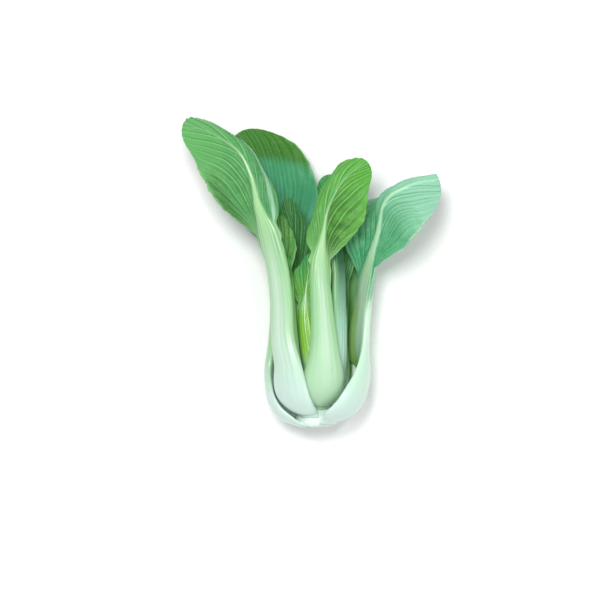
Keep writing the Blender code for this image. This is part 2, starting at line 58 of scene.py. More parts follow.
MM = 0.001
BODY = "root"

# The head's axis in the frame: this far right, this far back for the foot, this high.
AXIS = np.array((3.05, -92.8, 25.2))

Array = np.ndarray
Spots = dict[str, Array]
Tree = bpy.types.NodeTree
Material = bpy.types.Material
Object = bpy.types.Object
Sockets = dict[str, bpy.types.NodeSocket]
Pair = tuple[float, float]
Triple = tuple[float, float, float]
Keys = tuple[Pair, ...]


class Face(Enum):
    """The two faces of a leaf."""

    OUTER = 1.0
    INNER = 0.0


class Slot(Enum):
    """The names of the record's material slots, one of which each leaf holds."""

    STEM = "stem"
    BLADE = "blade"
    INNER_BLADE = "inner_blade"


def through(knots: Array, values: Array, at: Array) -> Array:
    """A smooth curve through keyed values: cubic pieces with slopes from the neighbours.

    Args:
        knots: where the values are held, rising.
        values: one value, or one row of values, for each knot.
        at: where the curve is read.

    Returns:
        One row for each place in at.
    """
    knots = np.asarray(knots, float)
    values = np.asarray(values, float).reshape(len(knots), -1)
    at = np.clip(np.atleast_1d(np.asarray(at, float)), knots[0], knots[-1])
    slopes = np.gradient(values, knots, axis=0)
    piece = np.clip(np.searchsorted(knots, at, side="right") - 1, 0, len(knots) - 2)
    step = (knots[piece + 1] - knots[piece])[:, None]
    t = (at - knots[piece])[:, None] / step
    return (
        (2 * t**3 - 3 * t**2 + 1) * values[piece]
        + (t**3 - 2 * t**2 + t) * step * slopes[piece]
        + (3 * t**2 - 2 * t**3) * values[piece + 1]
        + (t**3 - t**2) * step * slopes[piece + 1]
    )


def curve(keys: Keys, at: Array) -> Array:
    """The smooth curve through (place, value) keys, read at some places."""
    return through(*zip(*keys), at)[:, 0]


def straight(keys: Keys, at: Array) -> Array:
    """The broken line through (place, value) keys, read at some places."""
    return np.interp(at, *zip(*keys))


def ease(value: Array, low: float, high: float) -> Array:
    """Rises smoothly from 0 at low to 1 at high."""
    t = np.clip((value - low) / (high - low), 0.0, 1.0)
    return t * t * (3.0 - 2.0 * t)


def arc(heading: Array, curvature: Array, length: Array) -> tuple[Array, Array]:
    """How far arcs go sideways and inward.

    Args:
        heading: the direction at the start in radians, 0 for straight sideways.
        curvature: how fast the heading turns, in radians a millimetre.
        length: the length of the arc in millimetres.

    Returns:
        The sideways and the inward way of each arc.
    """
    flat = np.abs(curvature) < 1e-6
    bent = np.where(flat, 1.0, curvature)
    end = heading + curvature * length
    sideways = np.where(flat, length * np.cos(heading), (np.sin(end) - np.sin(heading)) / bent)
    inward = np.where(flat, length * np.sin(heading), (np.cos(heading) - np.cos(end)) / bent)
    return sideways, inward


def each_wing(second: Array, pair: tuple) -> Array:
    """The first or the second value of a pair, by wing."""
    return np.where(second, pair[1], pair[0])


def unit(vectors: Array) -> Array:
    """Rows of vectors, each made one long."""
    return vectors / np.linalg.norm(vectors, axis=1)[:, None]


def travelled(points: Array) -> Array:
    """How far along a line of points each point is."""
    return np.concatenate([[0.0], np.cumsum(np.linalg.norm(np.diff(points, axis=0), axis=1))])


def linear(code: str) -> tuple[float, float, float, float]:
    """An sRGB hex colour as the shader takes it.

    Args:
        code: the colour, such as "#ffffff".

    Returns:
        Its linear red, green and blue, and 1.
    """
    shares = [int(code[place : place + 2], 16) / 255 for place in (1, 3, 5)]
    turned = [c / 12.92 if c <= 0.04045 else ((c + 0.055) / 1.055) ** 2.4 for c in shares]
    return (*turned, 1.0)


def new_material(name: str) -> tuple[Material, Tree]:
    """Makes a material.

    Args:
        name: the material's name.

    Returns:
        The material and its empty node tree.
    """
    material = bpy.data.materials.new(name)
    material.use_nodes = True
    material.node_tree.nodes.clear()
    return material, material.node_tree


def add_node(
    tree: Tree, kind: str, inputs: dict | None = None, stops: tuple = (), **settings: object
) -> bpy.types.Node:
    """Adds one node with its settings, links and, for a ramp, its colour stops.

    Args:
        tree: the node tree it joins.
        kind: Blender's name for the node.
        inputs: a value or an output socket for each input, by name or number.
        stops: (place, hex colour) pairs of a colour ramp.
        settings: the node's own settings.

    Returns:
        The new node.
    """
    node = tree.nodes.new(kind)
    for name, value in settings.items():
        setattr(node, name, value)
    for key, value in (inputs or {}).items():
        if isinstance(value, bpy.types.NodeSocket):
            tree.links.new(value, node.inputs[key])
        else:
            node.inputs[key].default_value = value
    for number, (place, code) in enumerate(stops):
        elements = node.color_ramp.elements
        stop = elements[number] if number < len(elements) else elements.new(place)
        stop.position = place
        stop.color = linear(code)
    return node


def work_out(tree: Tree, read: Sockets, step: object) -> object:
    """Adds the nodes of one sum, which is written as nested tuples.

    A share is (top, (value, low, high), ...): 0 rising smoothly to top while the first
    value goes from its low to its high, times 0 rising to 1 for each further value.

    Args:
        tree: the material's nodes.
        read: the sockets that the sum names.
        step: a number, a name, (operation, value, ...) or a share.

    Returns:
        The result's socket, or the number.
    """
    if isinstance(step, str):
        return read[step]
    if not isinstance(step, tuple):
        return step
    kind, *parts = step
    if not isinstance(kind, str):
        top, kind, values = kind, "MULTIPLY", []
        for value, low, high in parts:
            inputs = {0: work_out(tree, read, value), 1: low, 2: high, 3: 0.0, 4: top}
            node = add_node(tree, "ShaderNodeMapRange", inputs, interpolation_type="SMOOTHSTEP")
            values.append(node.outputs[0])
            top = 1.0
    else:
        values = [work_out(tree, read, part) for part in parts] + [0.0] * (len(parts) == 1)
    result = values[0]
    for value in values[1:]:
        result = add_node(tree, "ShaderNodeMath", {0: result, 1: value}, operation=kind).outputs[0]
    return result


def paint(tree: Tree, read: Sockets, colour: object, layers: tuple) -> object:
    """Lays colours over a colour, each by its own share.

    Args:
        tree: the material's nodes.
        read: the shares by name.
        colour: the lowest colour, as a hex code or a socket.
        layers: (name of the share, hex code or socket), the lowest first.

    Returns:
        The last colour's socket.
    """
    for share, over in layers:
        under, over = (linear(c) if isinstance(c, str) else c for c in (colour, over))
        inputs = {0: read[share], 6: under, 7: over}
        colour = add_node(tree, "ShaderNodeMix", inputs, data_type="RGBA").outputs[2]
    return colour


def add_shader(tree: Tree, inputs: dict) -> None:
    """Ends a material with its shader."""
    shader = add_node(tree, "ShaderNodeBsdfPrincipled", inputs)
    add_node(tree, "ShaderNodeOutputMaterial", {"Surface": shader.outputs[0]})


def add_object(name: str, data: bpy.types.ID) -> Object:
    """Puts an object into the scene.

    Args:
        name: the object's name.
        data: its mesh, lamp or camera.

    Returns:
        The new object.
    """
    added = bpy.data.objects.new(name, data)
    bpy.context.scene.collection.objects.link(added)
    return added


def add_piece(name: str, shape: bmesh.types.BMesh, material: Material) -> Object:
    """Puts a finished mesh into the scene, with one material.

    Args:
        name: the piece's name.
        shape: its mesh, which is freed.
        material: its finish.

    Returns:
        The new object, at the origin.
    """
    mesh = bpy.data.meshes.new(name)
    shape.to_mesh(mesh)
    shape.free()
    mesh.materials.append(material)
    mesh.shade_smooth()
    return add_object(name, mesh)


@dataclass(frozen=True)
class LeafFinish:
    """Living leaf tissue, grown: a wet, waxy, slightly see-through skin.

    To the eye the stalk is nearly white at its foot and mint green higher up, with faint
    fibres along it, and light goes a little way in. The blade is matt green between pale
    veins, with the soft shine of a waxy skin. The second wing has the blade's own colour
    unless second_blade says otherwise. Some layers are painted light and shade: a painted
    highlight along the stalk's middle, painted shade on its inner face and, with some of
    their own greener tone, on its sides, painted shade in the creases beside the side veins
    and near the first wing's lower margin, and a painted highlight band on the second wing.
    """

    foot: str = "#cce5dc"
    stalk: str = "#b6d6ba"
    neck: str = "#94c690"
    rib: str = "#a0cd94"
    rib_tip: str = "#78b474"
    # The colour of the stalk's sides: partly their own greener tone, partly painted shade where
    # the rounded stalk turns from the light.
    edge: str = "#86c07c"
    fibre: str = "#9acb92"
    blade: str = "#3f9b55"
    second_blade: str = ""
    light: str = "#6fbf78"
    tip: str = "#3f9b55"
    inner: str = "#2f7d3c"
    # The colour of the painted shade in the creases beside the side veins.
    furrow_shade: str = "#2c7a34"
    vein: str = "#95c98c"
    # A painted highlight along the middle of the stalk: its colour and its share.
    crest_highlight: str = "#d6eadd"
    crest_highlight_share: float = 0.5
    # Painted shade on the stalk's inner face: its colour and its share.
    inner_stalk: str = "#8cc63e"
    inner_stalk_shade_share: float = 0.0
    inner_share: float = 0.35
    vein_share: float = 0.7
    neck_share: float = 0.6
    strands: float = 3.6
    tip_from: Pair = (1.35, 1.95)
    tip_margin: float = 0.0
    # A painted highlight band along the second wing's fold: its colour and its share.
    fold_highlight: str = "#b4dcc6"
    fold_highlight_share: float = 0.0
    # Painted shade near the first wing's lower margin, where it bends under: its colour and its
    # share.
    hem_shade: str = "#2e6a2a"
    hem_shade_share: float = 0.0
    # How much painted shade goes into the creases beside the side veins.
    furrow_shade_share: float = 0.6
    second_fork_share: float = 1.0
    rim_share: float = 0.45
    margin_share: float = 0.4
    inner_from: Pair = (0.5, -0.05)
    bloom: float = 0.3
    blade_roughness: float = 0.52
    stalk_roughness: float = 0.36
    blade_coat: float = 0.05
    stalk_coat: float = 0.4
    fibre_spacing_mm: float = 1.1
    fibre_length_mm: float = 42.0
    mottle_mm: float = 9.0
    net_mm: float = 2.4
    fine_net_mm: float = 1.1

    def read_surface(self, tree: Tree) -> Sockets:
        """Reads the leaf's own attributes and turns them into the shares that paint it.

        growth is 0 at the foot, 1 at the neck and 2 at the tip, and reach is 0 at the
        midrib and 1 at the margin.

        Args:
            tree: the material's nodes.

        Returns:
            The sockets by name.
        """
        read = {
            name: add_node(tree, "ShaderNodeAttribute", attribute_name=name).outputs["Fac"]
            for name in ("growth", "past", "vein", "reach", "across", "outer", "wing", "side")
        }
        skin = add_node(tree, "ShaderNodeUVMap", uv_map="Skin").outputs[0]
        noise, cells = ("ShaderNodeTexNoise", "Fac"), ("ShaderNodeTexVoronoi", "Distance")
        to_edge = {"feature": "DISTANCE_TO_EDGE"}
        textures = (
            ("fibre_noise", noise, self.fibre_spacing_mm, self.fibre_length_mm, {}, {}),
            ("mottle_noise", noise, self.mottle_mm, self.mottle_mm, {"Detail": 4.0}, {}),
            ("net_gap", cells, self.net_mm, self.net_mm, {}, to_edge),
            ("fine_gap", cells, self.fine_net_mm, self.fine_net_mm, {}, to_edge),
        )
        for name, (kind, output), across_mm, along_mm, inputs, settings in textures:
            scale = (1.0 / (across_mm * MM), 1.0 / (along_mm * MM), 1.0)
            place = add_node(tree, "ShaderNodeMapping", {"Vector": skin, "Scale": scale})
            inputs = {"Vector": place.outputs[0], "Scale": 1.0, **inputs}
            read[name] = add_node(tree, kind, inputs, **settings).outputs[output]
        forks = (
            (1.0, (("ABSOLUTE", ("SUBTRACT", "from_vein", apart)), 0.028, 0.004))
            for apart in ((0.46, ("reach", 0.22, 1.0)), (-0.4, ("reach", 0.5, 1.1)))
        )
        fibre_turns = ("MULTIPLY", "across", 2 * math.pi * self.strands)
        # A row holds a name and what work_out takes. The later rows read the earlier ones.
        sums = (
            ("is_inner", "SUBTRACT", 1.0, "outer"),
            ("is_first", "SUBTRACT", 1.0, "wing"),
            ("is_blade", 1.0, ("past", -1.0, 0.6), ("growth", 0.92, 1.04)),
            ("net_height", "MULTIPLY", ("MINIMUM", "fine_gap", 0.12), "is_blade"),
            ("from_vein", "SUBTRACT", ("FRACT", "vein"), 0.5),
            ("off_vein", "DIVIDE", ("ABSOLUTE", "from_vein"), ("SUBTRACT", 1.3, "reach")),
            ("forking", 0.5 * self.vein_share, ("reach", 0.24, 0.4)),
            ("fading", 1.0, ("reach", 1.05, 0.35)),
            ("line", self.vein_share, ("off_vein", 0.06, 0.01)),
            ("lines", "MULTIPLY", "line", ("ADD", ("MULTIPLY", "fading", 0.6), 0.35)),
            ("by_wing", "SUBTRACT", 1.0, ("MULTIPLY", "wing", 1.0 - self.second_fork_share)),
            ("forks", "MULTIPLY", ("MAXIMUM", *forks), "forking", "by_wing"),
            ("veins", "MAXIMUM", "lines", "forks"),
            # Painted shade in the crease beside each side vein, fading towards the margin.
            ("off_furrow", "ABSOLUTE", ("SUBTRACT", "from_vein", 0.17)),
            ("furrow_shaded", self.furrow_shade_share, ("off_furrow", 0.17, 0.0), ("reach", 1.0, 0.1)),
            ("furrow_shades", "MULTIPLY", "furrow_shaded", "by_wing"),
            ("net", 0.12, ("net_gap", 0.07, 0.0)),
            ("near_margin", self.margin_share, ("reach", 0.5, 0.95)),
            ("mottle", "MAXIMUM", (0.6, ("mottle_noise", 0.38, 0.72)), "near_margin"),
            ("near_neck", self.neck_share, ("growth", 1.26, 1.0)),
            # A painted highlight band part way out on the second wing.
            ("fold_highlight_band", self.fold_highlight_share, ("reach", 0.3, 0.5), ("reach", 0.78, 0.6)),
            ("fold_highlight", "MULTIPLY", "wing", "fold_highlight_band"),
            # Painted shade near the first wing's margin, below the tip.
            ("hem_shaded", self.hem_shade_share, ("reach", 0.55, 0.8), ("reach", 1.0, 0.9)),
            ("hem_shade", "MULTIPLY", "is_first", (1.0, ("growth", 1.75, 1.4)), "hem_shaded"),
            ("rim", self.rim_share, ("reach", 0.93, 1.0)),
            ("grown", "ADD", "growth", ("MULTIPLY", "reach", self.tip_margin)),
            ("towards_tip", 0.94, ("grown", *self.tip_from)),
            ("inner", "MULTIPLY", "is_inner", self.inner_share),
            ("fibres", 0.25, ("fibre_noise", 0.5, 0.8)),
            # The stalk's sides above the foot: partly their own greener tone, partly painted
            # shade.
            ("greener_and_shaded_sides", 0.6, ("side", 0.35, 1.0), ("growth", 0.15, 0.6)),
            # A painted highlight along the middle of the stalk, from above its foot up to the
            # neck.
            ("middle", self.crest_highlight_share, ("side", 0.5, 0.0)),
            ("crest_highlight", "MULTIPLY", "middle", (1.0, ("growth", 0.2, 0.5), ("growth", 1.15, 0.8))),
            ("turned", "MULTIPLY", "side", ("SUBTRACT", 1.0, ("MULTIPLY", "wing", 2.0))),
            # Painted shade on the stalk's inner face, from above its foot to the neck.
            ("shade_along", self.inner_stalk_shade_share, ("growth", 0.22, 0.4), ("growth", 1.1, 0.85)),
            ("inner_stalk", "MULTIPLY", "is_inner", (1.0, ("turned", *self.inner_from)), "shade_along"),
            ("strand_lines", 0.75, (("COSINE", fibre_turns), 0.4, -0.8), ("across", 0.15, 0.8)),
            ("at_neck", 1.0, ("growth", 0.84, 1.06), ("growth", 1.34, 1.2)),
            ("strands", "MULTIPLY", "strand_lines", "at_neck"),
            ("half_growth", "MULTIPLY", "growth", 0.5),
        )
        for name, *step in sums:
            read[name] = work_out(tree, read, tuple(step))
        return read

    def make(self, name: str) -> Material:
        """Makes the material.

        Args:
            name: the leaf's name.

        Returns:
            The new material.
        """
        material, tree = new_material(f"{name} leaf tissue, waxy")
        read = self.read_surface(tree)
        along_stalk = (
            (0.0, self.foot), (0.08, self.foot), (0.27, self.stalk),
            (0.47, self.neck), (0.60, self.rib), (0.95, self.rib_tip),
        )
        # The stalk's layers include a painted highlight on its middle and painted shade on its
        # sides and inner face.
        on_stalk = (
            ("fibres", self.fibre), ("crest_highlight", self.crest_highlight), ("greener_and_shaded_sides", self.edge),
            ("inner_stalk", self.inner_stalk), ("strands", self.light),
        )
        # The blade's layers include a painted highlight band and painted shade in creases and near
        # the margin.
        on_blade = (
            ("wing", self.second_blade or self.blade), ("mottle", self.light),
            ("inner", self.inner), ("towards_tip", self.tip), ("fold_highlight", self.fold_highlight),
            ("hem_shade", self.hem_shade), ("furrow_shades", self.furrow_shade), ("near_neck", self.rib),
            ("net", self.vein), ("veins", self.vein), ("rim", self.vein),
        )
        ramp = add_node(tree, "ShaderNodeValToRGB", {0: read["half_growth"]}, along_stalk)
        stalk = paint(tree, read, ramp.outputs[0], on_stalk)
        blade = paint(tree, read, self.blade, on_blade)
        roughness, coat = (
            add_node(tree, "ShaderNodeMapRange", {0: read["is_blade"], 3: low, 4: high}).outputs[0]
            for low, high in (
                (self.stalk_roughness, self.blade_roughness),
                (self.stalk_coat, self.blade_coat),
            )
        )
        relief = {"Height": read["fibre_noise"], "Strength": 0.2, "Distance": 0.2 * MM}
        fibres = add_node(tree, "ShaderNodeBump", relief).outputs[0]
        relief = {"Height": read["net_height"], "Strength": 0.5, "Distance": 0.8 * MM}
        net = add_node(tree, "ShaderNodeBump", {**relief, "Normal": fibres}).outputs[0]
        inputs = {
            "Base Color": paint(tree, read, stalk, (("is_blade", blade),)),
            "Roughness": roughness, "Metallic": 0.0, "IOR": 1.42, "Normal": net,
            "Subsurface Weight": self.bloom, "Subsurface Radius": (0.7, 1.0, 0.45),
            "Subsurface Scale": 2.4 * MM, "Coat Weight": coat, "Coat Roughness": 0.22,
        }
        add_shader(tree, inputs)
        return material


@dataclass(frozen=True)
class StemFinish:
    """Fresh stem flesh, cut: white, wet and fibrous, greener where leaves grew.

    To the eye it is the palest part, with a faint ring of fibres in the cut end and a
    little drying along the cut's rim.
    """

    flesh: str = "#e8f6ee"
    green: str = "#d2e9d8"
    dried: str = "#d8d2ab"
    roughness: float = 0.42
    mottle_mm: float = 4.0
    ring_mm: float = 2.6
    ring_scale: float = 0.314
    dried_depth_mm: float = 1.1
    dried_share: float = 0.45

    def make(self) -> Material:
        """Makes the material.

        Returns:
            The new material.
        """
        material, tree = new_material("Stem flesh, cut")
        place = add_node(tree, "ShaderNodeTexCoord").outputs["Object"]
        inputs = {"Vector": place, "Location": tuple(-AXIS * MM)}
        on_axis = add_node(tree, "ShaderNodeMapping", inputs).outputs[0]
        inputs = {"Vector": on_axis, "Scale": 1.0 / (self.mottle_mm * MM), "Detail": 5.0}
        read = {"mottle": add_node(tree, "ShaderNodeTexNoise", inputs).outputs["Fac"]}
        scale = self.ring_scale / (self.ring_mm * MM)
        inputs = {"Vector": on_axis, "Scale": scale, "Distortion": 1.5, "Detail": 2.0}
        rings = {"wave_type": "RINGS", "rings_direction": "Y"}
        read["rings"] = add_node(tree, "ShaderNodeTexWave", inputs, **rings).outputs["Fac"]
        read["height"] = add_node(tree, "ShaderNodeSeparateXYZ", {0: on_axis}).outputs["Y"]
        near_cut = (self.dried_share, ("height", self.dried_depth_mm * MM, 0.0))
        read["drying"] = work_out(tree, read, ("MULTIPLY", near_cut, "mottle"))
        layers = (("mottle", self.green), ("drying", self.dried))
        colour = paint(tree, read, self.flesh, layers)
        height = work_out(tree, read, ("ADD", "rings", "mottle"))
        relief = {"Height": height, "Strength": 0.3, "Distance": 0.2 * MM}
        bump = add_node(tree, "ShaderNodeBump", relief).outputs[0]
        inputs = {
            "Base Color": colour, "Roughness": self.roughness, "Metallic": 0.0, "IOR": 1.4,
            "Subsurface Weight": 0.35, "Subsurface Radius": (1.0, 1.0, 0.7),
            "Subsurface Scale": 3.0 * MM, "Normal": bump,
        }
        add_shader(tree, inputs)
        return material


@dataclass(frozen=True)
class FloorFinish:
    """Matt white paint, rolled: an even white with a barely visible grain."""

    paint: str = "#fcfcfc"
    grain: str = "#f4f4f4"
    grain_mm: float = 2.0
    roughness: float = 0.9

    def make(self) -> Material:
        """Makes the material.

        Returns:
            The new material.
        """
        material, tree = new_material("White paint, matt")
        place = add_node(tree, "ShaderNodeTexCoord").outputs["Object"]
        inputs = {"Vector": place, "Scale": 1.0 / (self.grain_mm * MM)}
        read = {"grain": add_node(tree, "ShaderNodeTexNoise", inputs).outputs["Fac"]}
        colour = paint(tree, read, self.paint, (("grain", self.grain),))
        add_shader(tree, {"Base Color": colour, "Roughness": self.roughness})
        return material


@dataclass
class StemBase:
    """The short stem that carries the leaves, with its cut end and leaf scars.

    profile holds (height along the axis, radius) up the outside, and cut_end the same
    over the cut, from its rim to its middle.
    """

    profile: Keys = (
        (0.0, 9.4), (0.5, 10.6), (1.6, 11.8), (3.4, 12.3), (5.5, 12.0),
        (10.0, 9.4), (15.0, 6.4), (20.0, 4.0), (23.0, 2.2),
    )
    cut_end: Keys = ((0.05, 8.7), (0.25, 7.6), (0.2, 5.0), (0.35, 2.5), (0.5, 0.0))
    top: float = 24.0
    rows: int = 70
    sides: int = 120
    lobes: int = 5
    lobe_depth: float = 0.03
    scar_heights: tuple[float, ...] = (2.2, 3.9, 5.6)
    scar_sway: float = 0.7
    scar_shift: float = 2.1
    scar_depth: float = 0.28
    scar_width: float = 0.35
    scar_from: Pair = (8.8, 10.2)
    cut_wave: float = 0.9
    cut_turn: float = 0.6
    cut_radius: float = 9.0
    cut_height: float = 5.0
    finish: StemFinish = field(default_factory=StemFinish)

    def radius(self, height: float) -> float:
        """The stem's radius at a height along the axis."""
        return float(straight(self.profile, np.array(height)))

    def build(self) -> Object:
        """Turns the outline round the axis and presses the lobes and scars into it.

        Returns:
            The stem.
        """
        shape = bmesh.new()
        heights = np.linspace(0.0, self.profile[-1][0], self.rows)
        outline = [*reversed(self.cut_end), *zip(heights, curve(self.profile, heights))]
        verts = [
            shape.verts.new(Vector((radius + AXIS[0], height + AXIS[1], AXIS[2])) * MM)
            for height, radius in [*outline, (self.top, 0.0)]
        ]
        for ends in zip(verts, verts[1:]):
            shape.edges.new(ends)
        bmesh.ops.spin(
            shape,
            geom=list(shape.verts) + list(shape.edges),
            cent=Vector(AXIS) * MM,
            axis=(0.0, 1.0, 0.0),
            angle=2 * math.pi,
            steps=self.sides,
            use_merge=True,
        )
        bmesh.ops.remove_doubles(shape, verts=shape.verts, dist=0.004 * MM)
        places = np.array([corner.co for corner in shape.verts]) / MM - AXIS
        radii = np.hypot(places[:, 0], places[:, 2])
        turn = np.arctan2(places[:, 2], places[:, 0])
        lobes = 1.0 - self.lobe_depth * (1.0 + np.cos(self.lobes * turn)) / 2
        scars = np.zeros_like(radii)
        for number, height in enumerate(self.scar_heights):
            middle = height + self.scar_sway * np.sin(2 * turn + self.scar_shift * number)
            scars += np.exp(-(((places[:, 1] - middle) / self.scar_width) ** 2))
        scars *= self.scar_depth * ease(radii, *self.scar_from)
        scale = lobes - scars / np.maximum(radii, 1.0)
        wave = self.cut_wave * (1.0 + np.sin(2 * turn + self.cut_turn)) / 2
        wave *= np.minimum(radii / self.cut_radius, 1.0)
        places[:, 1] += wave * ease(places[:, 1], self.cut_height, 0.0)
        places *= np.array((scale, np.ones_like(scale), scale)).T
        for corner, place in zip(shape.verts, places + AXIS):
            corner.co = Vector(place) * MM
        bmesh.ops.recalc_face_normals(shape, faces=shape.faces)
        return add_piece("stem_base_skin", shape, self.finish.make())

    def dress(self) -> Object:
        """Builds the stem and puts it in its solid's place.

        Returns:
            The stem.
        """
        piece = self.build()
        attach(piece, BODY)
        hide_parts("stem_base")
        return piece


@dataclass(frozen=True)
class Growth:
    """What all leaves share: how stalks leave the stem, and how a leaf is thick.

    Keyed tables hold (millimetres along the leaf, value) up to the neck, and rib tables
    (share of the blade, value) above it. rib_shoulder is where the midrib's swell has
    fallen to half, in half widths, and how steeply. second_ruffle is the size, speed and
    shift of the finer wave, and vein_wander the same for each bend of the side veins,
    along a vein and from vein to vein.
    """

    widest_bulge: float = 29.0
    bowl_sweep: float = 7.2
    bowl_top: float = 35.0
    bowl_knots: int = 6
    bowl_crowding: float = 1.6
    stem_gap: float = 1.5
    round_until: float = 26.0
    free_from: float = 54.0
    stalk_outer: Keys = ((0.0, 2.0), (8.0, 2.5), (20.0, 2.9), (45.0, 3.4), (75.0, 3.2))
    stalk_inner: Keys = ((0.0, 1.2), (8.0, 1.4), (20.0, 1.7), (45.0, 2.3), (75.0, 2.0))
    rib_width: Keys = ((0, 1.0), (0.1, 0.84), (0.2, 0.5), (0.32, 0.25), (0.55, 0.13), (0.88, 0.08))
    rib_outer: Keys = ((0.0, 3.0), (0.1, 2.5), (0.2, 1.9), (0.32, 1.3), (0.55, 0.85), (0.88, 0.6))
    rib_inner: Keys = ((0.0, 1.8), (0.1, 1.4), (0.2, 1.05), (0.32, 0.75), (0.55, 0.6), (0.88, 0.5))
    stalk_edge: float = 0.55
    edge_roundness: float = 8.0
    rim: float = 0.14
    rib_shoulder: Pair = (0.92, 4.0)
    wrap_from: Pair = (30.0, 60.0)
    wrap_past_neck: float = 10.0
    wrap_shares: Triple = (1.0, 0.8, 0.35)
    smallest_wrap_radius: float = 3.0
    width_marks: tuple[float, ...] = (0.0, 7.0, 19.0, 36.0)
    fold_start: float = 1.3
    fold_span: float = 4.0
    widest_share: float = 0.6
    opening: float = 0.85
    full_bend_share: float = 0.25
    tip_width: float = 0.66
    ruffle_waves: float = 3.2
    ruffle_shift: float = 2.0
    second_ruffle: Triple = (0.3, 2.6, 1.0)
    spine_samples: int = 400
    chord_spread: Pair = (-12.0, 24.0)
    chord_reach: Pair = (0.8, 22.0)
    foot_dip: float = 2.8
    lowest_foot: float = 0.6
    foot_sink: float = 1.2
    foot_full: float = 5.0
    foot_share: float = 0.35
    wing_start: float = 14.0
    neck_wing: float = 1.5
    late_rise: float = 0.04
    late_rim: float = 0.1
    rib_columns: float = 0.34
    blade_half: float = 0.22
    margin_thinning: float = 0.35
    vein_spacing: float = 17.0
    vein_sweep: float = 0.92
    vein_bend: float = 0.9
    vein_wander: tuple[Triple, ...] = ((0.17, 5.2, 1.7), (0.08, 11.0, 3.3), (0.03, 23.0, 5.7))
    wander_full: float = 0.5
    vein_height: float = 0.22
    vein_width: float = 0.05
    vein_taper: float = 1.3
    vein_fade: float = 1.1
    inner_vein: float = 0.3
    pleat: float = 0.8
    pleat_share: float = 0.16
    pleat_full: float = 0.12
    pleat_fade: float = 0.8
    scallops: Pair = (0.9, 1.45)
    scallop_depth: float = 0.13
    flutes: float = 3.5
    flute_depth: float = 0.1
    flutes_from: Pair = (8.0, 30.0)
    table_gap: float = 0.05
    painted_across: float = 1.6


GROWTH = Growth()


